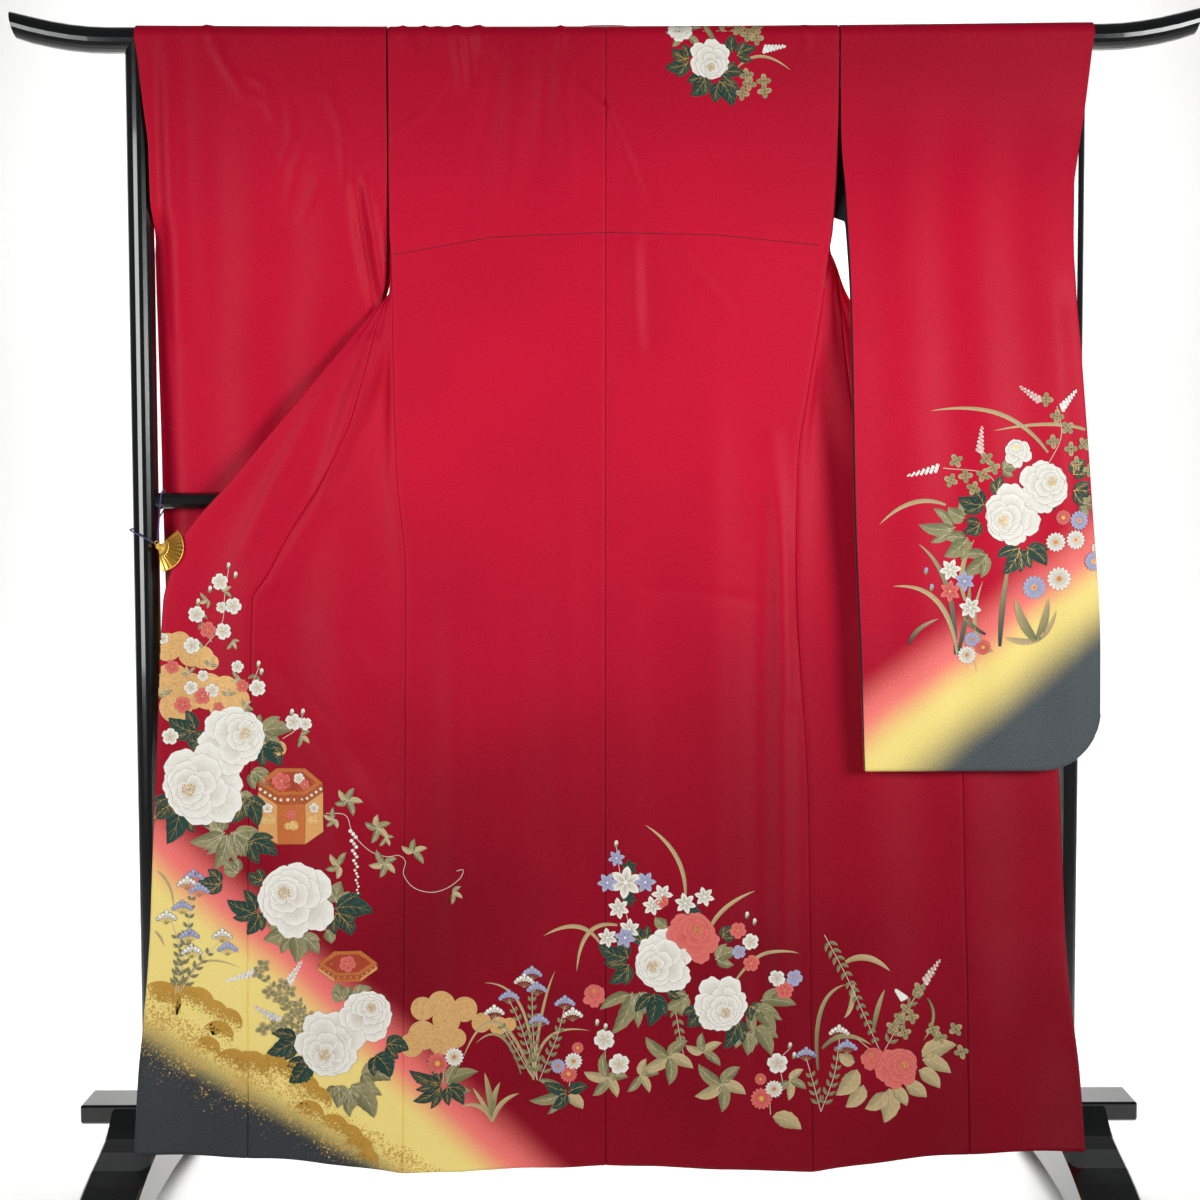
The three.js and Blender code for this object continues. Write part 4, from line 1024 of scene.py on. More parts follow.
class Painter:
    """Collects flat shapes drawn in x and z, then lays them on the silk that faces the viewer."""

    def __init__(self):
        self.spots, self.layers, self.tints, self.covers, self.faces = [], [], [], [], []
        self.total = 0
        self.shapes = 0

    def grid(self, columns, tints, layer, cover=1.0, pole=False):
        """Columns of points side by side, each with its own tint. With "pole" the columns are rings,
        and the last of them is a single point."""
        high = len(columns[0])
        start = self.total
        layer = layer + 0.1 * (self.shapes % 5)
        for k, (column, hue) in enumerate(zip(columns, tints)):
            self.spots.append(column)
            self.tints.append(np.broadcast_to(hue, (len(column), 4)))
            share = cover[k] if isinstance(cover, list) else cover
            self.covers.append(np.broadcast_to(share, (len(column),)))
            self.layers.append(np.full(len(column), layer))
            self.total += len(column)
        whole = len(columns) - 2 if pole else len(columns) - 1
        for k in range(whole):
            a, b = start + k * high, start + (k + 1) * high
            for j in range(high if pole else high - 1):
                n = (j + 1) % high
                self.faces.append((a + j, a + n, b + n, b + j))
        if pole:
            a, tip = start + whole * high, self.total - 1
            self.faces.extend((a + j, a + (j + 1) % high, tip) for j in range(high))
        self.shapes += 1

    def disc(self, rim, centre, line, edge, heart, layer, cover=None):
        """A shape seen whole from its centre, with a fine outline unless its line is None."""
        reach = np.linalg.norm(rim - centre, axis=1, keepdims=True)
        rings, hues = [rim], [edge]
        if line is not None:
            rings.append(rim - (rim - centre) * np.minimum(0.45, LINE / reach))
            hues = [line, edge]
        count = max(1, round(float(reach.max()) / MOTIF_STEP))
        for k in range(1, count + 1):
            share = 1 - k / (count + 1)
            rings.append(centre + (rim - centre) * share)
            hues.append(edge * share + heart * (1 - share))
        if cover is not None:
            cover = [cover * lerp(0.5, 1, 1 - k / len(rings)) for k in range(len(rings) + 1)]
            cover[-1] = 0.3
        self.grid([*rings, centre[None]], [*hues, heart], layer, 1.0 if cover is None else cover, pole=True)

    def ribbon(self, spine, half, colour, layer):
        """A line of a width that may change along it."""
        out = self.sideways(spine) * np.reshape(half, (-1, 1))
        self.grid([spine - out, spine + out], [colour, colour], layer)

    def line(self, start, end, half, colour, layer):
        """A straight ribbon."""
        self.ribbon(np.array([start, end]), half, colour, layer)

    @staticmethod
    def sideways(spine):
        run = unit(np.gradient(spine, axis=0))
        return np.stack((-run[:, 1], run[:, 0]), axis=1)

    def petal(self, base, angle, length, width, colour, layer, ruffle=0.0, notch=0.0, point=0.0):
        """A petal from its base outwards: ruffled, notched or pointed at its tip."""
        count = int(np.clip(round(length / (1.5 * MM)), 8, 28))
        theta = around(count)
        tip = np.clip(np.cos(theta), 0, 1)
        off_tip = np.minimum(theta, 2 * math.pi - theta)
        swell = 1 + ruffle * tip ** 0.4 * np.abs(np.cos(4.5 * theta + 7 * angle)) ** 0.7
        swell = swell - notch * bell(off_tip / 0.32) + point * bell(off_tip / 0.4)
        along = length * 0.5 * np.cos(theta) * swell
        aside = width * 0.5 * np.sin(theta) * (1 + 0.22 * np.cos(theta)) * swell
        out, up = turned(angle), turned(angle + math.pi / 2)
        centre = base + out * length * 0.5
        rim = centre + along[:, None] * out + aside[:, None] * up
        heart = centre - out * length * 0.28
        self.disc(rim, heart, OUTLINES[colour], tint(colour), HEARTS[colour], layer)

    def dot(self, centre, radius, colour, layer, sides=7):
        self.grid([centre + radius * circle(sides), centre[None]], [colour, colour], layer, pole=True)

    def leaf(self, base, tip, width, kind, layer, bend=0.10, veins=True):
        """A pointed leaf, its two halves unlike, with a midrib and side veins; large ones have lobes."""
        run = tip - base
        side = np.array([-run[1], run[0]])
        if veins and kind != "straw" and width > 17 * MM:
            for lobe in (-1, 1):
                end = base + 0.06 * run + 0.74 * (run * math.cos(0.66) + lobe * side * math.sin(0.66))
                wide = min(width * 0.62, 16.9 * MM)
                self.leaf(base + 0.06 * run, end, wide, kind, layer - 0.5, 0.08 * lobe)
            width = 0.86 * width
        count, marks = (11, (2, 4, 6)) if width > 22 * MM else (8, (1, 3, 4)) if veins else (6, ())
        spine = bowed(base, (base + tip) / 2 + bend * side, tip, count)
        t = np.linspace(0, 1, count)
        teeth = 1 + 0.10 * np.sin(t * 5 * math.pi) ** 2
        half = width / 2 * np.sin(math.pi * t ** 0.80) ** 0.85 * teeth + 0.05 * MM
        out = self.sideways(spine)
        dark, light = tint(kind, shade=0.78), tint(kind, shade=1.2)
        if kind == "olive":
            light = 0.6 * tint("olive", shade=1.15) + 0.4 * tint("straw")
        if kind == "straw":
            dark = 0.5 * tint("straw") + 0.5 * tint("olive")
        vein = 0.7 * tint("straw", shade=1.2) + 0.3 * tint("white")
        if kind == "pine":
            vein = tint("gold", 0.5)
        line = 0.45 * vein + 0.55 * dark
        band = np.minimum(half * 0.3, 0.35 * MM)
        reaches = [-half, band - half, 0 * half, half - band, half]
        columns = [spine + out * reach[:, None] for reach in reaches]
        self.grid(columns, [line, dark, 0.5 * dark + 0.5 * light, light, line], layer)
        if veins:
            self.ribbon(spine[:-1], 0.30 * MM * (1 - 0.6 * t[:-1]), vein, layer + 1)
            for k in marks:
                for side in (-1, 1):
                    end = spine[k + 2] + out[k + 2] * side * half[k + 2] * 0.72
                    self.line(spine[k], end, [0.19 * MM, 0.07 * MM], vein, layer + 1)

    def blade(self, kind, start, middle, end, width, layer):
        """A long blade of grass that fades to straw at its tip."""
        count = max(8, round(float(np.linalg.norm(end - start)) / (6 * MM)))
        spine = bowed(start, middle, end, count)
        t = np.linspace(0, 1, count)
        half = width / 2 * np.sin(math.pi * (0.12 + 0.88 * t)) ** 0.7 + 0.04 * MM
        out = self.sideways(spine) * half[:, None]
        foot, top = tint(kind, shade=0.9), tint("straw", shade=1.15)
        fade = t[:, None] * 0.8
        body = foot * (1 - fade) + top * fade
        self.grid([spine - out, spine, spine + out], [body * 0.82, body, body * 1.12], layer)

    def peony(self, colour, place, radius, degrees, layer):
        """A double blossom: whorls of ruffled petals around a heart of stamens, leaning one way."""
        turn = math.radians(degrees)
        draw = random.Random(round(place[0] / MM) * 31 + round(place[1] / MM))
        lean = turned(turn)
        for count, reach, width, away in PEONY_WHORLS:
            for k in range(count):
                angle = turn + 2 * math.pi * (k + 0.3 * draw.random()) / count + 3 * reach
                nearer = 1 - 0.16 * math.cos(angle - turn)
                base = place + radius * (lean * away - turned(angle) * 0.04)
                size = radius * reach * nearer * (0.92 + 0.16 * draw.random())
                wide = radius * width * (0.90 + 0.30 * draw.random())
                self.petal(base, angle, size, wide, colour, layer, ruffle=0.13, notch=0.14 * draw.random())
                layer += 0.5
        heart = place + radius * lean * 0.26
        for k in range(11):
            angle = 2 * math.pi * k / 11
            end = heart + turned(angle) * radius * (0.10 + 0.07 * draw.random())
            self.line(heart, end, 0.2 * MM, tint("gold", 0.6), layer)
            self.dot(end, radius * 0.022 + 0.3 * MM, tint("gold", 0.6, 1.15), layer + 1, 6)
        return layer

    def blossom(self, colour, place, radius, layer):
        """Five notched petals around gold stamens."""
        first = place[0] * 211 + place[1] * 97
        for k in range(5):
            angle = first + 2 * math.pi * k / 5
            self.petal(place, angle, radius, radius * 0.86, colour, layer + 0.5 * k, notch=0.14)
        for k in range(5):
            end = place + turned(first + 2 * math.pi * (k + 0.5) / 5) * radius * 0.34
            self.line(place, end, 0.16 * MM, tint("gold", 0.3), layer + 4)
        self.dot(place, 0.7 * MM + radius * 0.05, tint("gold", 0.5), layer + 5)

    def star(self, colour, place, radius, layer):
        """A bellflower: pointed petals, each with a line down its middle."""
        first = place[0] * 173 + place[1] * 59
        for k in range(6):
            angle = first + 2 * math.pi * k / 6
            if colour == "pine":
                self.leaf(place, place + turned(angle) * radius, radius * 0.5, "pine", layer, veins=False)
                continue
            self.petal(place, angle, radius, radius * 0.62, colour, layer + 0.5 * k, point=0.3)
            tip = place + turned(angle) * radius * 0.7
            self.line(place, tip, 0.14 * MM, OUTLINES[colour], layer + 3)
        if colour != "pine":
            heart = tint("gold", 0.4) if colour == "coral" else tint("white")
            self.dot(place, radius * 0.13, heart, layer + 4)

    def aster(self, colour, place, radius, layer):
        """Thin ray petals around a gold disc."""
        count = 15
        for k in range(count):
            angle = 2 * math.pi * k / count + place[0] * 90
            base = place + turned(angle) * radius * 0.15
            self.petal(base, angle, radius * 0.85, radius * 0.34, colour, layer + 0.5 * (k % 3))
        heart = tint("coral") if colour != "coral" else tint("gold", 0.2, 1.3)
        self.dot(place, radius * 0.26, tint("gold", 0.4), layer + 2, 10)
        self.dot(place, radius * 0.14, heart, layer + 3, 8)

    def umbel(self, colour, place, layer):
        """A low dome of florets over fine stalks."""
        line = OUTLINES[colour]
        for row, (count, half, rise, size) in enumerate(UMBEL_ROWS):
            for k in range(count):
                share = k / (count - 1) * 2 - 1
                floret = place + np.array([half * share, rise + 4 * MM * (1 - share * share)])
                if row == 0:
                    foot = place - (0, 8 * MM)
                    self.line(foot, floret, 0.3 * MM, tint("straw", shade=0.8), layer)
                self.dot(floret, size + 0.5 * MM, line, layer + 1 + row, 8)
                shade = tint(colour) if row else 0.5 * tint(colour) + 0.5 * HEARTS[colour]
                self.dot(floret, size, shade, layer + 1.5 + row, 8)

    def clover(self, place, layer):
        """Four round leaflets, light and dark in turn."""
        first = place[0] * 300 + place[1] * 130
        for k in range(4):
            angle = first + 2 * math.pi * k / 4
            out, up = turned(angle), turned(angle + math.pi / 2)
            rim = place + out * 5.6 * MM + circle(11) @ np.array([out * 4.6 * MM, up * 3.7 * MM])
            light = tint("straw") if k % 2 else 0.5 * tint("straw") + 0.5 * tint("olive")
            self.disc(rim, place + out * 2.4 * MM, light * 1.15, light, tint("olive"), layer)

    def spike(self, colour, start, end, layer):
        """A flower spike of small beads that thins out towards its tip."""
        run = end - start
        side = unit(np.array([-run[1], run[0]]))
        self.line(start, end, 0.3 * MM, tint("straw", shade=0.8), layer)
        count = 20
        for k in range(count):
            share = k / count
            beside = (k % 3 - 1) * 3.6 * MM * (1 - 0.75 * share)
            pale = tint("white")
            if colour != "white" and k % 4:
                pale = 0.45 * tint(colour) + 0.55 * pale
            place = start + run * share + side * beside
            self.dot(place, (2.9 - 1.5 * share) * MM, pale * (0.86 + 0.14 * (k % 2)), layer + 1 + k % 2, 7)

    def bud(self, colour, place, layer):
        """One closed petal between two small leaves."""
        foot = place - (0, 4.5 * MM)
        self.petal(place - (0, 3 * MM), math.pi / 2, 9 * MM, 5.5 * MM, colour, layer + 1)
        for side in (-1, 1):
            self.leaf(foot, place + (side * 3 * MM, 1 * MM), 2.2 * MM, "olive", layer + 2, veins=False)

    def leaf_fan(self, place, size, degrees, count, layer):
        """Pointed leaflets that spread from one place."""
        for k in range(count):
            angle = math.radians(degrees) + 1.15 * (k - (count - 1) / 2)
            tip = place + turned(angle) * size * (1.3 - 0.06 * k)
            self.leaf(place, tip, size * 0.5, "straw" if k % 2 else "olive", layer)

    def cloud(self, circles, layer):
        """A gold cloud with a scalloped outline, its circles run together."""
        gold, deep = fixed(236, 188, 122, 0.3), fixed(250, 222, 160, 0.2)
        for centre, radius in circles:
            self.disc(centre + radius * circle(26), centre, deep, gold, gold, layer)
        for centre, radius in circles:
            inner = centre + (radius - 1.3 * MM) * circle(26)
            self.disc(inner, centre, None, gold, gold * 1.03, layer + 1)

    def dust(self, circles, layer):
        """Scallops of gold dust, whole at their upper rim and scattered below."""
        rim = np.clip(0.42 + 0.62 * (circle(26) @ np.array([0.45, 0.89])), 0, 1)
        ochre = fixed(208, 158, 62, 0.4)
        for centre, radius in circles:
            self.disc(centre + 1.35 * radius * circle(26), centre, None, ochre, ochre, layer, cover=rim)
            layer += 0.5

    def box(self, place, width, height, lid, layer):
        """A six-sided lacquered box: its lid seen from above, a lattice band, and faces with flowers."""
        centre = np.array(place) * MM
        half, slant, band = width / 2, width * 0.20, min(13 * MM, height * 0.5)
        corners = [(-half, slant), (-half * 0.42, 0), (half * 0.42, 0), (half, slant)]
        for k, wood in enumerate(("pale", "wood", "pale")):
            (x0, z0), (x1, z1) = corners[k:k + 2]
            for top, low, hue in ((0, band, "band"), (band, height, wood)):
                face = [(x0, z0 - top), (x1, z1 - top), (x1, z1 - low), (x0, z0 - low)]
                self.polygon(centre, face, hue, layer)
            for step in range(4):
                share = (step + 0.5) / 4
                spot = centre + (lerp(x0, x1, share), lerp(z0, z1, share) - band / 2)
                self.dot(spot, band * 0.32, WOODS["edge"], layer + 1, 4)
                self.dot(spot, band * 0.22, WOODS["lattice"], layer + 2, 4)
            if height > 20 * MM:
                spot = centre + ((x0 + x1) / 2, (z0 + z1) / 2 - band - 14 * MM)
                self.blossom("coral" if k % 2 else "white", spot, 8 * MM, layer + 2)
                self.dot(spot + (3 * MM, -16 * MM), 7 * MM, WOODS["cloud"], layer + 1, 14)
                self.dot(spot + (-5 * MM, -17 * MM), 5 * MM, WOODS["cloud"], layer + 1.5, 14)
        top = [*corners, (half * 0.45, slant * 2.1), (-half * 0.45, slant * 2.1)]
        self.polygon(centre, top, "wood", layer + 1)
        inner = [(x * 0.8, slant + (z - slant) * 0.74) for x, z in top]
        self.polygon(centre, inner, "deep", layer + 2)
        for hue, x, z, radius in lid:
            self.blossom(hue, centre + (x * half, slant + z * slant), radius * MM, layer + 4)

    def polygon(self, centre, corners, wood, layer):
        """A straight-sided shape, with four points between each two corners."""
        corners = centre + np.array(corners)
        share = np.linspace(0, 1, 6)[:-1, None]
        rim = np.concatenate([lerp(a, b, share) for a, b in zip(corners, np.roll(corners, -1, axis=0))])
        self.disc(rim, corners.mean(axis=0), WOODS["edge"], WOODS[wood], WOODS[wood] * 1.05, layer)

    def lay(self, name, cloths, look):
        """Presses the shapes onto the cloth and makes them one closed piece."""
        spots, layers = np.concatenate(self.spots), np.concatenate(self.layers)
        points = np.empty((self.total, 3))
        for k, (x, z) in enumerate(spots):
            hits = [cloths.ray_cast(Vector((x + reach, -1, z)), Vector((0, 1, 0)))[0] for reach in SEAM_REACH]
            if hits[0] is None:
                hits = [cloths.find_nearest(Vector((x, -0.05, z)))[0]]
            points[k] = hits[0]
            points[k, 1] = min(hit.y for hit in hits if hit is not None)
        points[:, 1] -= LIFT + LAYER * layers
        flipped = []
        for face in self.faces:
            corners = points[list(face)]
            facing = np.cross(corners[2] - corners[0], corners[-1] - corners[1])[1]
            flipped.append(face if facing < 0 else face[::-1])
        piece = new_piece(name, points, flipped, look)
        hues = piece.data.color_attributes.new("Tint", "FLOAT_COLOR", "POINT")
        hues.data.foreach_set("color", np.concatenate(self.tints).astype(np.float32).ravel())
        covers = piece.data.attributes.new("Cover", "FLOAT", "POINT")
        covers.data.foreach_set("value", np.concatenate(self.covers).astype(np.float32))
        apply_modifier(piece, "SOLIDIFY", thickness=MOTIF_WALL, offset=-1)
        only(piece)
        bpy.ops.object.shade_smooth_by_angle(angle=math.radians(50))
        finish_piece(piece, "silk")


def cloth_tree(*names):
    """The given pieces as one surface that rays can be cast on."""
    corners, faces = [], []
    for name in names:
        mesh = bpy.data.objects[name].data
        start = len(corners)
        corners.extend(vertex.co.copy() for vertex in mesh.vertices)
        faces.extend([start + v for v in polygon.vertices] for polygon in mesh.polygons)
    return BVHTree.FromPolygons(corners, faces)


WOODS = {
    "wood": fixed(206, 112, 52, 0.1), "pale": fixed(232, 170, 102, 0.1), "deep": fixed(176, 64, 34),
    "edge": fixed(122, 74, 34, 0.3), "band": fixed(190, 84, 40), "lattice": fixed(246, 230, 204),
    "cloud": fixed(240, 200, 130, 0.3),
}
UMBEL_ROWS = [(6, 12 * MM, 0, 2.8 * MM), (5, 9 * MM, 3.4 * MM, 2.8 * MM), (3, 5 * MM, 6.0 * MM, 2.6 * MM)]
PEONY_WHORLS = [(7, 1.00, 0.78, 0.0), (5, 0.78, 0.72, 0.10), (4, 0.54, 0.58, 0.20), (3, 0.37, 0.44, 0.28)]


# Where the motifs lie and how large they are, in pixels of the front view. Each place is two numbers:
# pixels from the left and pixels down.
PEONIES = [  # colour, place, radius, the way it leans in degrees
    ("white", 237, 735, 34, 20), ("white", 198, 785, 42, 200), ("white", 291, 898, 38, 150),
    ("white", 366, 1016, 27, 60), ("white", 326, 1048, 34, 250), ("coral", 694, 938, 27, 60),
    ("white", 660, 967, 32, 200), ("white", 722, 1009, 28, 300), ("coral", 594, 996, 12, 90),
    ("coral", 873, 1061, 13, 120), ("coral", 900, 1070, 21, 20), ("white", 709, 69, 21, 270),
    ("white", 678, 36, 13, 90), ("white", 1007, 454, 14, 100), ("white", 1036, 487, 26, 30),
    ("white", 1000, 518, 29, 210),
]
PINE_LEAVES = [  # base, tip, width
    (688, 66, 671, 56, 14), (688, 69, 664, 74, 16), (730, 60, 731, 43, 12), (734, 63, 754, 56, 13),
    (719, 81, 743, 81, 13), (703, 84, 689, 102, 18), (717, 87, 730, 113, 20), (196, 731, 168, 716, 20),
    (204, 742, 186, 736, 18), (262, 744, 279, 766, 20), (178, 797, 166, 843, 26), (170, 796, 157, 818, 18),
    (241, 797, 231, 822, 18), (244, 795, 257, 826, 18), (184, 812, 208, 827, 16), (247, 840, 276, 856, 20),
    (222, 882, 196, 880, 18), (257, 911, 226, 899, 18), (257, 911, 246, 934, 16), (333, 909, 372, 914, 24),
    (334, 912, 350, 936, 20), (262, 880, 247, 872, 14), (296, 1038, 266, 1052, 22),
    (306, 1062, 287, 1083, 22), (384, 1048, 407, 1053, 20), (373, 1058, 388, 1081, 22),
    (629, 960, 598, 946, 18), (629, 967, 608, 986, 16), (645, 945, 634, 926, 14), (654, 996, 648, 1030, 20),
    (665, 995, 686, 990, 13), (738, 1021, 724, 1052, 18), (700, 1012, 686, 1030, 16),
    (722, 940, 735, 930, 13), (750, 1010, 764, 1024, 13), (441, 1086, 407, 1073, 15),
    (440, 1089, 411, 1105, 14), (445, 1089, 462, 1108, 15), (566, 1094, 543, 1085, 12),
    (566, 1097, 551, 1112, 11), (567, 1096, 588, 1090, 12), (976, 506, 950, 498, 17),
    (989, 497, 993, 478, 14), (1062, 477, 1076, 463, 15), (1062, 493, 1087, 498, 15),
    (1011, 548, 994, 574, 18), (1018, 548, 1038, 566, 17), (972, 524, 955, 533, 14),
    (1030, 500, 1046, 512, 13),
]
OLIVE_LEAVES = [
    (678, 45, 671, 54, 6), (687, 45, 697, 54, 7), (683, 38, 701, 35, 6), (674, 38, 664, 40, 6),
    (251, 729, 249, 705, 15), (261, 731, 292, 729, 19), (250, 770, 268, 786, 15), (240, 790, 246, 812, 14),
    (224, 831, 188, 841, 17), (222, 831, 210, 813, 15), (226, 833, 213, 868, 18), (232, 831, 260, 850, 17),
    (230, 831, 244, 856, 16), (238, 872, 224, 858, 15), (335, 903, 340, 881, 17), (284, 930, 262, 939, 17),
    (292, 934, 294, 964, 19), (300, 938, 317, 955, 17), (325, 930, 330, 944, 12), (343, 1001, 336, 983, 17),
    (353, 999, 370, 990, 15), (359, 1075, 389, 1084, 19), (335, 1087, 335, 1110, 17),
    (349, 1087, 372, 1122, 23), (345, 1091, 351, 1112, 16), (632, 995, 611, 1037, 18),
    (639, 995, 643, 1018, 13), (688, 998, 664, 1012, 15), (751, 1011, 776, 1037, 17),
    (755, 1031, 772, 1060, 17), (745, 1035, 748, 1060, 15), (761, 1005, 797, 1008, 15),
    (715, 962, 739, 954, 15), (690, 930, 676, 918, 13), (668, 930, 655, 919, 12),
    (443, 1086, 477, 1075, 15), (566, 1094, 528, 1105, 13), (948, 528, 911, 525, 15),
    (957, 519, 940, 508, 15), (960, 538, 937, 556, 18), (979, 554, 955, 574, 16), (992, 471, 1009, 470, 13),
    (1070, 505, 1090, 512, 14),
]
STRAW_LEAVES = [
    (567, 1099, 582, 1113, 12), (858, 1073, 837, 1100, 17), (864, 1089, 847, 1112, 15),
    (890, 1092, 885, 1126, 19), (887, 1095, 866, 1113, 15), (893, 1092, 907, 1109, 13),
    (906, 1089, 927, 1100, 15), (919, 1073, 940, 1090, 15), (923, 1063, 950, 1074, 15),
    (923, 1060, 956, 1046, 17), (856, 1066, 840, 1058, 13), (773, 1122, 802, 1135, 16),
]
BLOSSOMS = [  # colour, place, radius
    ("white", 221, 580, 9), ("white", 234, 604, 9), ("white", 222, 606, 6), ("white", 197, 613, 9),
    ("white", 224, 630, 9), ("coral", 208, 628, 9), ("white", 192, 644, 9), ("white", 238, 665, 7),
    ("coral", 243, 684, 7), ("white", 258, 686, 9), ("white", 293, 721, 9), ("white", 305, 723, 7),
    ("white", 170, 735, 9), ("coral", 172, 665, 8), ("coral", 202, 695, 9), ("white", 212, 689, 8),
    ("white", 191, 686, 8), ("coral", 182, 703, 9), ("white", 203, 674, 6), ("white", 164, 637, 6),
    ("coral", 218, 706, 6), ("white", 604, 1043, 11), ("white", 619, 1068, 11), ("white", 751, 945, 9),
    ("coral", 738, 933, 9), ("lilac", 739, 955, 8), ("coral", 752, 967, 9), ("white", 777, 981, 9),
    ("lilac", 795, 981, 9), ("coral", 785, 993, 10), ("white", 778, 1068, 11), ("coral", 662, 904, 7),
]
STARS = [  # colour, place, radius
    ("lilac", 616, 859, 8), ("lilac", 607, 884, 9), ("lilac", 645, 884, 10), ("white", 625, 884, 15),
    ("white", 618, 910, 10), ("white", 662, 897, 10), ("white", 652, 908, 9), ("white", 685, 905, 10),
    ("white", 704, 898, 9), ("lilac", 625, 940, 10), ("white", 629, 931, 10), ("white", 607, 940, 9),
    ("pine", 629, 869, 9), ("pine", 628, 900, 9), ("pine", 693, 914, 9), ("white", 943, 570, 10),
    ("lilac", 957, 581, 9), ("coral", 943, 591, 10), ("white", 963, 607, 10),
]
ASTERS = [  # colour, place, radius
    ("coral", 436, 1066, 11), ("white", 453, 1059, 10), ("lilac", 557, 1069, 8), ("white", 573, 1064, 9),
    ("coral", 568, 1077, 9), ("coral", 577, 1051, 6), ("white", 775, 1094, 9), ("coral", 762, 1104, 11),
    ("coral", 761, 1084, 6), ("white", 1046, 543, 10), ("white", 1066, 541, 10), ("lilac", 1069, 522, 10),
    ("coral", 1053, 519, 8), ("lilac", 1026, 587, 12), ("white", 1050, 579, 12), ("lilac", 1085, 562, 10),
    ("white", 1090, 549, 8), ("coral", 976, 646, 8), ("lilac", 965, 638, 8), ("white", 960, 654, 9),
]
UMBELS = [  # colour, place
    ("lilac", 192, 878), ("white", 186, 884), ("lilac", 198, 891), ("lilac", 181, 908), ("white", 165, 918),
    ("lilac", 188, 936), ("white", 221, 936), ("lilac", 227, 949), ("white", 191, 952), ("lilac", 531, 977),
    ("white", 523, 985), ("lilac", 536, 993), ("lilac", 508, 1001), ("white", 493, 1016),
    ("lilac", 538, 1025), ("lilac", 564, 1006), ("white", 572, 1018), ("white", 840, 1037),
    ("lilac", 848, 1052), ("lilac", 807, 1060),
]
BLADES = [  # colour, foot, middle, tip, width
    ("olive", 712, 48, 706, 38, 701, 25, 5), ("straw", 734, 76, 758, 64, 787, 77, 3),
    ("straw", 685, 899, 676, 858, 645, 826, 4), ("straw", 708, 935, 725, 910, 756, 893, 4),
    ("straw", 735, 985, 765, 957, 800, 956, 3.5), ("straw", 599, 945, 575, 928, 543, 938, 4),
    ("straw", 617, 927, 588, 935, 576, 974, 4), ("straw", 533, 1084, 540, 1020, 554, 973, 3),
    ("straw", 533, 1084, 520, 1010, 483, 985, 3), ("straw", 533, 1084, 495, 1025, 461, 1061, 3.5),
    ("straw", 533, 1084, 548, 1040, 589, 1034, 3), ("olive", 520, 1078, 500, 1040, 475, 1046, 3),
    ("olive", 491, 1126, 488, 1100, 483, 1076, 6), ("straw", 491, 1126, 478, 1110, 460, 1109, 4),
    ("straw", 491, 1126, 500, 1108, 518, 1098, 5), ("olive", 491, 1126, 492, 1105, 499, 1086, 6),
    ("straw", 491, 1126, 482, 1108, 471, 1091, 4), ("straw", 846, 965, 868, 960, 891, 974, 6),
    ("straw", 854, 986, 852, 1008, 845, 1022, 5), ("olive", 874, 1034, 878, 1012, 885, 992, 5),
    ("olive", 819, 1075, 822, 1015, 846, 988, 4), ("olive", 823, 1053, 845, 1040, 872, 1048, 5),
    ("olive", 928, 1001, 934, 1020, 924, 1044, 3), ("straw", 1037, 455, 990, 418, 922, 414, 4.5),
    ("straw", 1085, 436, 1040, 428, 984, 434, 3.5), ("straw", 938, 506, 905, 504, 873, 525, 4.5),
    ("straw", 1089, 474, 1083, 425, 1074, 379, 4), ("pine", 949, 653, 940, 585, 911, 544, 5),
    ("straw", 951, 654, 930, 600, 887, 586, 5), ("pine", 952, 653, 960, 610, 962, 585, 5),
    ("pine", 992, 645, 995, 600, 1000, 564, 5.5), ("pine", 903, 643, 912, 628, 932, 618, 4),
    ("straw", 958, 600, 955, 570, 966, 540, 5), ("straw", 985, 650, 968, 625, 975, 580, 4),
    ("pine", 978, 633, 962, 622, 955, 608, 4), ("olive", 1029, 640, 1015, 622, 1007, 598, 9),
    ("olive", 1029, 640, 1036, 622, 1040, 598, 8), ("straw", 1029, 640, 1012, 640, 997, 636, 6),
    ("straw", 1029, 640, 1040, 628, 1048, 610, 5), ("straw", 157, 870, 168, 885, 172, 905, 2),
    ("straw", 186, 980, 205, 960, 240, 967, 2), ("straw", 154, 930, 160, 936, 163, 945, 2),
]
CLOUDS = [  # place, radius
    (168, 645, 14), (180, 641, 11), (191, 652, 13), (203, 656, 11), (211, 661, 8), (172, 680, 18),
    (190, 690, 18), (208, 690, 18), (225, 688, 14), (238, 698, 12), (222, 703, 14), (175, 705, 16),
    (268, 745, 9), (278, 748, 8), (421, 1011, 12), (440, 1007, 14), (463, 1011, 13), (445, 1022, 14),
    (421, 1038, 15), (440, 1044, 14), (410, 1048, 12), (455, 1040, 10), (480, 1025, 10), (497, 1029, 9),
    (508, 1028, 7),
]
DUST = [  # place, radius
    (160, 1000, 16), (178, 998, 14), (196, 1004, 14), (212, 1015, 13), (226, 1022, 12), (218, 1034, 12),
    (208, 1046, 10), (232, 1062, 13), (250, 1068, 14), (270, 1070, 13), (286, 1080, 13), (302, 1092, 12),
    (314, 1104, 12), (306, 1118, 12), (330, 1132, 12), (345, 1142, 11), (356, 1154, 11), (364, 1166, 9),
]
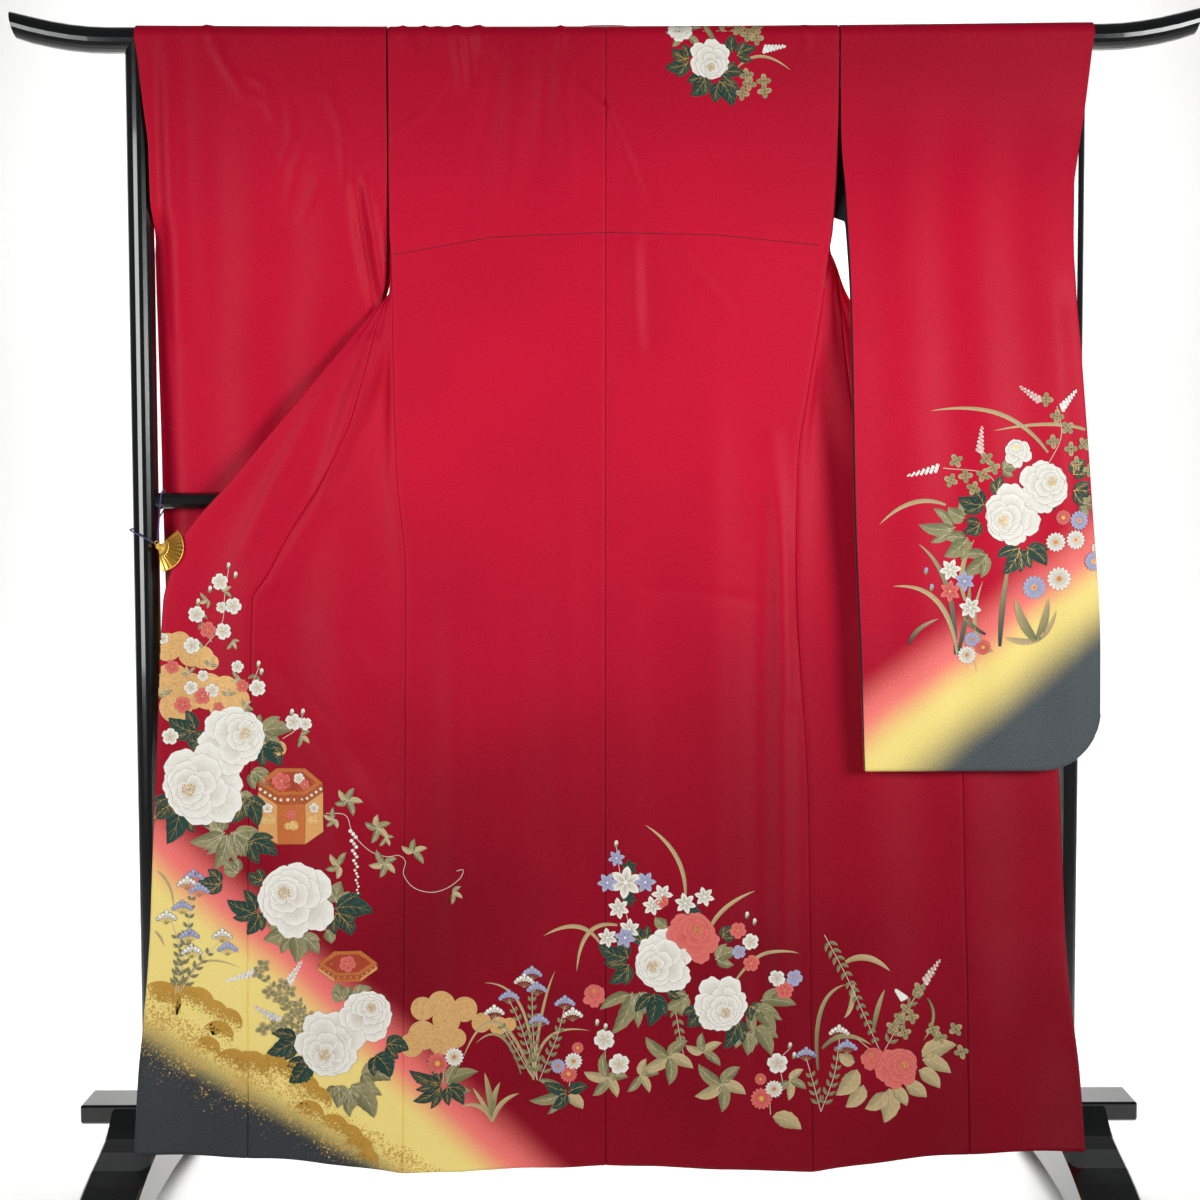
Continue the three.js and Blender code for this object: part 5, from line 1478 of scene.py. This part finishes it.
LEAF_FANS = [  # place, reach, the way it points in degrees, leaflets
    (347, 800, 13, 60, 5), (333, 818, 9, 190, 4), (376, 828, 13, 20, 5), (384, 838, 8, 300, 3),
    (338, 866, 12, 160, 4), (383, 864, 13, 250, 5), (412, 853, 12, 50, 4), (452, 893, 9, 330, 3),
    (669, 1061, 24, 270, 5), (703, 1056, 17, 60, 4), (722, 1088, 24, 270, 5), (607, 1082, 20, 230, 5),
    (640, 1080, 16, 330, 4), (790, 1085, 16, 300, 4), (224, 590, 8, 30, 3), (208, 598, 8, 200, 3),
    (240, 676, 8, 200, 3), (232, 640, 7, 300, 3), (198, 640, 7, 240, 3), (210, 664, 7, 60, 3),
    (300, 735, 9, 320, 3), (165, 694, 8, 100, 3), (228, 694, 7, 80, 3), (245, 705, 7, 40, 3),
    (189, 672, 7, 110, 3),
]
CLOVERS = [  # place
    (721, 31), (733, 29), (737, 38), (754, 36), (754, 46), (745, 43), (744, 82), (747, 91), (740, 100),
    (761, 88), (762, 98), (948, 463), (943, 482), (957, 478), (965, 490), (977, 461), (974, 477),
    (984, 470), (1046, 420), (1056, 431), (1042, 445), (1060, 452), (1074, 447), (1066, 466), (1080, 472),
    (1035, 404), (257, 972), (262, 965), (268, 992), (276, 997), (285, 1004), (290, 1016), (283, 1024),
    (272, 1026), (262, 1028), (296, 1008), (300, 1016), (288, 992), (298, 1030), (309, 1018), (281, 985),
    (893, 1030), (900, 1022), (907, 1012), (913, 1020), (905, 1036), (920, 992), (955, 1030), (960, 1052),
    (940, 1040), (933, 1032),
]
SPIKES = [  # colour, foot, tip
    ("white", 761, 57, 783, 54), ("white", 930, 470, 899, 478), ("coral", 970, 455, 972, 429),
    ("coral", 1030, 405, 1009, 390), ("white", 1050, 412, 1066, 394), ("coral", 1080, 440, 1086, 425),
    ("white", 252, 972, 224, 980), ("white", 287, 983, 300, 962), ("lilac", 277, 1020, 253, 1005),
    ("coral", 925, 985, 941, 962), ("white", 905, 1002, 896, 992), ("white", 352, 830, 357, 897),
]
BUDS = [  # colour, place
    ("white", 230, 565), ("white", 237, 574), ("white", 211, 588), ("white", 199, 601), ("white", 259, 663),
    ("white", 262, 671), ("white", 302, 712), ("white", 292, 712), ("white", 616, 845),
    ("white", 597, 1026), ("white", 605, 1030), ("lilac", 919, 571), ("lilac", 925, 587),
    ("white", 747, 918), ("white", 755, 925), ("white", 791, 1050), ("white", 795, 1060),
]
STEMS = [  # the places that each runs through
    ((230, 566), (226, 592), (222, 622), (205, 645)), ((199, 602), (203, 625), (212, 640)),
    ((260, 664), (252, 682), (243, 690)), ((302, 713), (296, 728), (282, 738)),
    (
        (325, 813), (345, 815), (352, 833), (368, 851), (385, 857), (398, 856), (404, 862), (402, 875),
        (412, 888), (430, 893), (447, 888), (460, 878), (462, 870), (456, 871),
    ),
    ((176, 992), (178, 950), (170, 920)), ((178, 990), (186, 930), (192, 882)),
    ((180, 990), (200, 960), (222, 938)), ((536, 1084), (532, 1030), (531, 980)),
    ((536, 1084), (520, 1030), (508, 1003)), ((538, 1084), (556, 1040), (564, 1008)),
    ((530, 1080), (510, 1045), (494, 1018)), ((825, 938), (850, 985), (881, 1056)),
    ((885, 1053), (910, 1010), (941, 962)), ((822, 1117), (815, 1090), (807, 1062)),
    ((822, 1117), (835, 1080), (841, 1040)), ((300, 1034), (280, 1000), (257, 968)),
    ((308, 1032), (295, 1000), (290, 984)), ((298, 1036), (280, 1024), (262, 1016)),
    ((1036, 470), (1050, 440), (1046, 410)), ((990, 492), (975, 475), (935, 470)),
    ((616, 848), (620, 880), (628, 925), (640, 950)), ((672, 995), (680, 1040), (684, 1062)),
    ((568, 1094), (570, 1075)), ((441, 1086), (444, 1066)), ((771, 1120), (770, 1095)),
    ((970, 670), (966, 650)), ((606, 1080), (604, 1045)), ((783, 1085), (780, 1065), (791, 1052)),
    ((858, 1042), (880, 1060)),
]


def located(rows, sleeve, count=1):
    """The rows of a table that lie on the right sleeve, or else those on the body. Their places, of which
    each row has "count", and the size that follows them are turned from pixels into metres."""
    found = []
    for row in rows:
        words = [part for part in row if isinstance(part, str)]
        numbers = row[len(words):]
        spots = [on_silk(*numbers[k:k + 2]) for k in range(0, 2 * count, 2)]
        size = [round(part * PIXEL_WIDTH) * MM for part in numbers[2 * count:2 * count + 1]]
        if on_sleeve(spots[0]) == sleeve:
            found.append([*words, *spots, *size, *numbers[2 * count + 1:]])
    return found


def on_sleeve(spot):
    return bool((spot > SLEEVE_CORNER).all())


def grow_leaves(painter, spine):
    """Small leaves in turn on both sides of a stem."""
    for k in range(3, len(spine) - 5, 3):
        run = spine[k + 1] - spine[k - 1]
        forward = math.atan2(run[1], run[0])
        for side in (-1, 1):
            end = spine[k] + turned(forward + side * 0.75) * (15 - 9 * k / len(spine)) * MM
            painter.leaf(spine[k], end, 5 * MM, "olive", 4, 0.1 * side, veins=False)


def paint_tuck_shade(painter, sleeve):
    """A dark crimson line along the tuck across the back: painted shade under the tuck's ledge."""
    if not sleeve:
        x = np.linspace(-0.298, 0.300, 120)
        z = np.interp(x, TUCK.rows[::-1, 0], TUCK.rows[::-1, 1])
        painter.ribbon(np.stack((x, z), axis=1), 0.45 * MM, fixed(92, 4, 24), 0)


def paint_leaves(painter, sleeve):
    for route in STEMS:
        spots = np.array([on_silk(*pixel) for pixel in route])
        if on_sleeve(spots[0]) == sleeve:
            spine = through(spots)
            painter.ribbon(spine, 0.5 * MM, 0.6 * tint("straw") + 0.4 * tint("white"), 3)
            if len(route) == 3 and not sleeve:
                grow_leaves(painter, spine)
    for row in located(BLADES, sleeve, 3):
        painter.blade(*row, 3)
    leaves = ("straw", STRAW_LEAVES, 4), ("olive", OLIVE_LEAVES, 4), ("pine", PINE_LEAVES, 6)
    for kind, rows, layer in leaves:
        for row in located(rows, sleeve, 2):
            painter.leaf(*row, kind, layer)
    for row in located(LEAF_FANS, sleeve):
        painter.leaf_fan(*row, 5)
    for row in located(CLOVERS, sleeve):
        painter.clover(*row, 6)


def paint_blossoms(painter, sleeve):
    for row in located(SPIKES, sleeve, 2):
        painter.spike(*row, 5)
    for paint, rows, layer in (
            (painter.umbel, UMBELS, 6), (painter.bud, BUDS, 8), (painter.aster, ASTERS, 8),
            (painter.star, STARS, 8), (painter.blossom, BLOSSOMS, 9)):
        for row in located(rows, sleeve):
            paint(*row, layer)


def paint_peonies(painter, sleeve):
    for row in located(PEONIES, sleeve):
        painter.peony(*row, 10)


def paint_clouds(painter, sleeve):
    painter.cloud(located(CLOUDS, sleeve), 1)
    if not sleeve:
        painter.box(BOX_PLACE, 92 * MM, 70 * MM, BOX_FLOWERS, 3)
        painter.box(LID_PLACE, 84 * MM, 9 * MM, LID_FLOWERS, 3)


def paint_dust(painter, sleeve):
    painter.dust(located(DUST, sleeve), 0)


SLEEVE_CORNER = (0.345, 0.640)  # what lies beyond and above this place is on the right sleeve
BOX_PLACE = (-450, 592)        # in millimetres from the part's middle and above the floor
LID_PLACE = (-371, 335)
# colour, place across and up the lid as shares of its half width and depth, radius
BOX_FLOWERS = [("coral", -0.3, 0.1, 14), ("white", 0.25, 0.3, 9), ("coral", 0.42, -0.15, 8)]
LID_FLOWERS = [("coral", 0.0, 0.0, 13), ("coral", 0.12, 0.1, 7)]
GROUPS_OF_MOTIFS = {
    "tuck": paint_tuck_shade, "dust": paint_dust, "clouds": paint_clouds, "leaves": paint_leaves,
    "blossoms": paint_blossoms, "peonies": paint_peonies,
}


# ---------------------------------------------------------------- operators

class Step(bpy.types.Operator):
    """Shared by the operators that build one group of pieces."""
    bl_options = {"REGISTER", "UNDO"}


class KIMONO_OT_back(Step):
    """Make the two back panels, sewn along the centre seam."""
    bl_idname = "kimono.back"
    bl_label = "Back panels"

    def execute(self, context):
        looks = [silk_look("silk_back", body_dye), lining_look("lining_back", dark_below(HEM_LINING_TOP))]

        def height(x, z):
            return crease_height(BODY_CREASES + DRAPE_CREASES, x, z) + tuck_height(x, z)

        for name, side in SIDES.items():
            points = back_surface(name, settings("silk").step)[:, ::-side]
            piece = silk_sheet("back_" + name, rolled(lifted(points, height)), (0.305, 1.62), looks)
        return {"FINISHED"}


class KIMONO_OT_fronts(Step):
    """Make the two front panels and the overlap panels beside them."""
    bl_idname = "kimono.fronts"
    bl_label = "Fronts and overlaps"

    def execute(self, context):
        looks = [silk_look("silk_front", body_dye), lining_look("lining_front", dark_below(HEM_LINING_TOP))]
        step = settings("silk").step

        def drape(x, z):
            return crease_height(DRAPE_CREASES, x, z)

        for name, side in SIDES.items():
            front = lifted(front_surface(name, step)[:, ::-side], drape)
            piece = silk_sheet("front_" + name, rolled(front), (0.27, 1.62), looks)
            overlap = lifted(overlap_surface(name, step)[:, ::-side], drape)
            piece = silk_sheet("okumi_" + name, rolled(overlap), (0.15, 1.35), looks)
        return {"FINISHED"}


class KIMONO_OT_sleeves(Step):
    """Make the two long sleeves, each one panel folded over the rail."""
    bl_idname = "kimono.sleeves"
    bl_label = "Sleeves"

    def execute(self, context):
        dyed = silk_look("silk_sleeve", sleeve_dye)
        linings = {
            # Painted shade: the left sleeve's lining is all shaded crimson, for the shade inside the sleeve.
            "left": lining_look("lining_sleeve_left", lambda x, z: 1.0, settings("silk").shaded_crimson),
            "right": lining_look("lining_sleeve_right", dark_below(1.60)),
        }
        for name, side in SIDES.items():
            points = sleeve_surface(name, settings("silk").step)[:, ::-side]
            if name == "left":
                points = lifted(points, lambda x, z: crease_height(SLEEVE_LEFT_CREASES, x, z))
            piece = silk_sheet("sleeve_" + name, points, (0.33, 2.15), [dyed, linings[name]], closed=True)
        return {"FINISHED"}


class KIMONO_OT_collar(Step):
    """Make the collar band around the neck and down both fronts."""
    bl_idname = "kimono.collar"
    bl_label = "Collar"

    def execute(self, context):
        looks = [silk_look("silk_collar", plain_dye), lining_look("lining_collar", lambda x, z: 0.0)]
        piece = silk_sheet("collar", collar_surface(settings("silk").step), (0.058, 2.0), looks)
        return {"FINISHED"}


class KIMONO_OT_motifs(Step):
    """Dye the flowers, leaves and clouds onto the body and the right sleeve."""
    bl_idname = "kimono.motifs"
    bl_label = "Dyed motifs"

    def execute(self, context):
        panels = [(panel, name) for panel in ("back", "front", "okumi") for name in SIDES]
        body = cloth_tree(*("silk_%s_%s" % pair for pair in panels))
        sleeve = cloth_tree("silk_sleeve_right")
        dyed, dusted = motif_look(), dust_look()
        for name, paint in GROUPS_OF_MOTIFS.items():
            look = dusted if name == "dust" else dyed
            for part, cloths in (("body", body), ("sleeve", sleeve)):
                painter = Painter()
                paint(painter, part == "sleeve")
                if painter.total:
                    painter.lay("motifs_%s_%s" % (part, name), cloths, look)
        return {"FINISHED"}


class KIMONO_OT_rack(Step):
    """Lacquer the rack's wood and gild the clip."""
    bl_idname = "kimono.rack"
    bl_label = "Rack and clip"

    def execute(self, context):
        wood = lacquer_look()
        for name in ("rail", "crossbar", "beam", "post_left", "post_right", "foot_left", "foot_right"):
            dress(name, wood)
        add_skins("clip_fan", clip_skins(), gilt_look(), "gilt", "clip")
        add_skins("clip_tie", cord_skins(), plait_look(), "plait", "clip_cord")
        return {"FINISHED"}


CLIP_RIVET = (-0.632, 0.946)
CLIP_RINGS = [(3, 0), (9, 0), (14, 0), (15.5, 1), (25, 1), (36, 1)]   # reach, and how far it is pleated
CLIP_RIBS = 11
FAN_OPENING = (40, -84)        # the directions of its first and last rib, in degrees
FAN_WIRES = -0.0338            # how far forward the wires on its face lie
CORD_ROUTE = [
    (-634.5, -27, 953), (-634, -24, 970), (-633.5, -18.5, 992), (-633, -14.5, 1008), (-632, -9.5, 1022),
    (-631.5, 0, 1026), (-632, 10, 1021), (-633.5, 15, 1009), (-636.5, 17.5, 998), (-645, 20.5, 986),
    (-657, 22, 978), (-670, 18, 973), (-677.5, 9, 971), (-679.5, 0, 970), (-677.5, -9, 969), (-670, -18, 966),
    (-657, -22.5, 960), (-645, -25, 954), (-639, -27, 950.5),
]


def tube(spine, radius, sides=8, closed=False):
    """Rings of points along a curve, each square to it, as one skin."""
    run = np.gradient(spine, axis=0)
    if closed:
        run = np.roll(spine, -1, axis=0) - np.roll(spine, 1, axis=0)
    run = unit(run)
    aside = np.cross(run[0], (0.3, 0.2, 0.9))
    points, faces = [], []
    for k, (place, forward) in enumerate(zip(spine, run)):
        aside = unit(aside - forward * (aside @ forward))
        other = np.cross(forward, aside)
        angle = around(sides)[:, None]
        points.append(place + radius * (np.cos(angle) * aside + np.sin(angle) * other))
    count = len(spine)
    for k in range(count if closed else count - 1):
        a, b = k * sides, (k + 1) % count * sides
        faces.extend((a + j, a + (j + 1) % sides, b + (j + 1) % sides, b + j) for j in range(sides))
    if not closed:
        faces.append(tuple(range(sides))[::-1])
        faces.append(tuple((count - 1) * sides + j for j in range(sides)))
    return np.concatenate(points), faces


def add_skins(name, skins, look, slot, *nodes):
    """One piece from several closed skins."""
    points, faces = [], []
    for corners, sides in skins:
        start = sum(len(part) for part in points)
        points.append(corners)
        faces.extend(tuple(start + v for v in face) for face in sides)
    piece = new_piece(name, np.concatenate(points), faces, look)
    in_edit_mode(piece, bpy.ops.mesh.normals_make_consistent, inside=False)
    bpy.ops.object.shade_smooth_by_angle(angle=math.radians(40))
    finish_piece(piece, slot, *nodes)


def from_rivet(reach, angle, y):
    """Points at a reach and an angle from the clip's rivet."""
    return stacked(CLIP_RIVET[0] + reach * np.cos(angle), y, CLIP_RIVET[1] + reach * np.sin(angle))


def fan_plate(reach_share, front, pleat, thick):
    """A pleated plate that opens from the rivet, as front and rear grids joined round the rim."""
    high = 2 * CLIP_RIBS + 1
    angle = np.radians(np.linspace(*FAN_OPENING, high))
    fold = np.arange(high) % 2
    points = []
    for depth in (0, thick):
        for reach, folded in CLIP_RINGS:
            far = reach * reach_share * MM * (1 - 0.045 * fold * (reach > 30))
            points.append(from_rivet(far, angle, front + pleat * folded * fold + depth))
    rows = len(CLIP_RINGS)
    loop = [*range(rows), *range(2 * rows - 1, rows - 1, -1)]
    faces = []
    for a, b in zip(loop, loop[1:] + loop[:1]):
        a, b = a * high, b * high
        faces.extend((a + k, a + k + 1, b + k + 1, b + k) for k in range(high - 1))
    for end in (0, high - 1):
        ring = [row * high + end for row in loop]
        faces.extend((ring[k], ring[k + 1], ring[-2 - k], ring[-1 - k]) for k in range(rows - 1))
    return np.concatenate(points), faces


def clip_skins():
    """The pleated fan with its edge wires and ribs, the leaf behind it, the rivet and its rings."""
    skins = [fan_plate(1, -0.0336, 1.7 * MM, 0.9 * MM), fan_plate(0.78, -0.0254, 0, -1.2 * MM)]
    for reach in (14.6, 35.2):
        arc = np.radians(np.linspace(FAN_OPENING[0] - 0.5, FAN_OPENING[1] + 0.5, 34))
        skins.append(tube(from_rivet(reach * MM, arc, FAN_WIRES), 0.55 * MM, 6))
    for k in range(CLIP_RIBS + 1):
        way = math.radians(lerp(*FAN_OPENING, k / CLIP_RIBS))
        skins.append(tube(from_rivet(np.array([15, 25, 35]) * MM, way, FAN_WIRES), 0.4 * MM, 6))
    for reach, bead in ((5.2, 0.9), (9.0, 0.6)):
        ring = from_rivet((reach + 0.5) * 0.5 * MM, around(20), -0.0340)
        skins.append(tube(ring + (reach * 0.35 * MM, 0, -reach * 0.12 * MM), bead * MM, 6, closed=True))
    stem = from_rivet(0, 0, np.array([-35.4, -35, -33.4, -30, -27, -24.4, -24]) * MM)
    skins.append(tube(stem, 3.4 * MM, 16))
    eye = from_rivet(2.6 * MM, around(20), -0.0290) + (-3.4 * MM, 0, 5.2 * MM)
    skins.append(tube(eye, 0.8 * MM, 8, closed=True))
    return skins


def cord_skins():
    """Two silk strands twisted round each other along the cord's route."""
    spine = through(np.array(CORD_ROUTE) * MM, 0.9 * MM)
    run = unit(np.gradient(spine, axis=0))
    reach = np.concatenate(([0], np.cumsum(np.linalg.norm(np.diff(spine, axis=0), axis=1))))
    aside = unit(np.cross(run, (0.31, 0.23, 0.92)))
    other = np.cross(run, aside)
    skins = []
    for start in (0, math.pi):
        turn = (start + reach / (5 * MM) * 2 * math.pi)[:, None]
        skins.append(tube(spine + 0.62 * MM * (np.cos(turn) * aside + np.sin(turn) * other), 0.72 * MM, 7))
    return skins


def dress(node, look):
    """Puts a material into every slot of a node that stays."""
    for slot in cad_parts[node].material_slots:
        slot.material = look


class KIMONO_OT_stage(Step):
    """Set the floor, the backdrop, the soft lights and the camera."""
    bl_idname = "kimono.stage"
    bl_label = "Stage"

    def execute(self, context):
        stage = settings("stage")
        add_floor(stage)
        add_light("key", (2.0, -2.3, 1.45), (-0.08, 0, 0.98), 1.1, 11.2 * stage.light, 76)
        add_light("fill", (-2.2, -2.4, 1.30), (0.0, 0, 0.98), 1.6, 9.8 * stage.light, 78)
        add_light("floor_light", (0, 2.3, 2.3), (0, 1.7, 0), 2.4, 85 * stage.light, 100)
        add_light("paper", (0, 3.0, 3.4), (0, 6.8, 1.4), 3.0, 330 * stage.light, 180)
        world = bpy.data.worlds.new("Studio")
        world.use_nodes = True
        world.node_tree.nodes["Background"].inputs["Color"].default_value = (1, 1, 1, 1)
        world.node_tree.nodes["Background"].inputs["Strength"].default_value = 0.085 * stage.light
        context.scene.world = world
        context.scene.view_settings.view_transform = "Standard"
        camera = bpy.data.cameras.new("Camera")
        camera.lens = 52.44
        camera.sensor_width = 36
        seat = bpy.data.objects.new("Camera", camera)
        seat.location = (-0.0097, -stage.distance, stage.height)
        seat.rotation_euler = (math.radians(87), math.radians(0.19), 0)
        context.scene.collection.objects.link(seat)
        context.scene.camera = seat
        return {"FINISHED"}


def add_floor(stage):
    """A floor that curves up into a backdrop."""
    deselect()
    bpy.ops.mesh.primitive_plane_add(size=14, location=(0, 0, 0))
    floor = bpy.context.object
    floor.name = "floor"
    bpy.ops.object.mode_set(mode="EDIT")
    bpy.ops.mesh.select_all(action="DESELECT")
    bpy.ops.object.mode_set(mode="OBJECT")
    for edge in floor.data.edges:
        edge.select = all(floor.data.vertices[v].co.y > 6.9 for v in edge.vertices)
    bpy.ops.object.mode_set(mode="EDIT")
    bpy.ops.mesh.extrude_region_move(TRANSFORM_OT_translate={"value": (0, 0, 9)})
    bpy.ops.object.mode_set(mode="OBJECT")
    apply_modifier(floor, "BEVEL", width=2.5, segments=16, limit_method="ANGLE")
    floor.data.shade_smooth()
    look = Look("studio_paper", Specular_IOR_Level=0.2)
    base = look.mix(look.noise(look.place(), 2.0) * 0.1, stage.floor, (0.85, 0.85, 0.86))
    floor.data.materials.append(look.finish(Base_Color=base, Roughness=0.8))


def add_light(name, place, target, size, power, spread):
    """A round softbox; "spread" is the opening of its beam in degrees."""
    light = bpy.data.lights.new(name, "AREA")
    light.spread = math.radians(spread)
    light.shape = "DISK"
    light.size = size
    light.energy = power
    lamp = bpy.data.objects.new(name, light)
    lamp.location = place
    lamp.rotation_euler = (Vector(target) - Vector(place)).to_track_quat("-Z", "Y").to_euler()
    bpy.context.scene.collection.objects.link(lamp)


# ---------------------------------------------------------------- panel, registration and run

OPERATORS = (
    KIMONO_OT_back, KIMONO_OT_fronts, KIMONO_OT_sleeves, KIMONO_OT_collar, KIMONO_OT_motifs,
    KIMONO_OT_rack, KIMONO_OT_stage,
)


class KIMONO_PT_panel(bpy.types.Panel):
    """Sidebar panel with the sizes, colours and operators."""
    bl_idname = "KIMONO_PT_panel"
    bl_label = "Kimono"
    bl_space_type = "VIEW_3D"
    bl_region_type = "UI"
    bl_category = "Kimono"

    def draw(self, context):
        for operator in OPERATORS:
            self.layout.operator(operator.bl_idname)
        for name, group in GROUPS.items():
            box = self.layout.box()
            box.label(text=group.__doc__)
            for field in group.__annotations__:
                box.prop(getattr(context.scene, name), field)


def register():
    for group in GROUPS.values():
        bpy.utils.register_class(group)
    for name, group in GROUPS.items():
        setattr(bpy.types.Scene, name, bpy.props.PointerProperty(type=group))
    for operator in OPERATORS:
        bpy.utils.register_class(operator)
    bpy.utils.register_class(KIMONO_PT_panel)


def unregister():
    bpy.utils.unregister_class(KIMONO_PT_panel)
    for operator in reversed(OPERATORS):
        bpy.utils.unregister_class(operator)
    for name, group in GROUPS.items():
        delattr(bpy.types.Scene, name)
        bpy.utils.unregister_class(group)


def main():
    register()
    for operator in OPERATORS:
        group, name = operator.bl_idname.split(".")
        getattr(getattr(bpy.ops, group), name)()


if __name__ == "__main__":
    main()
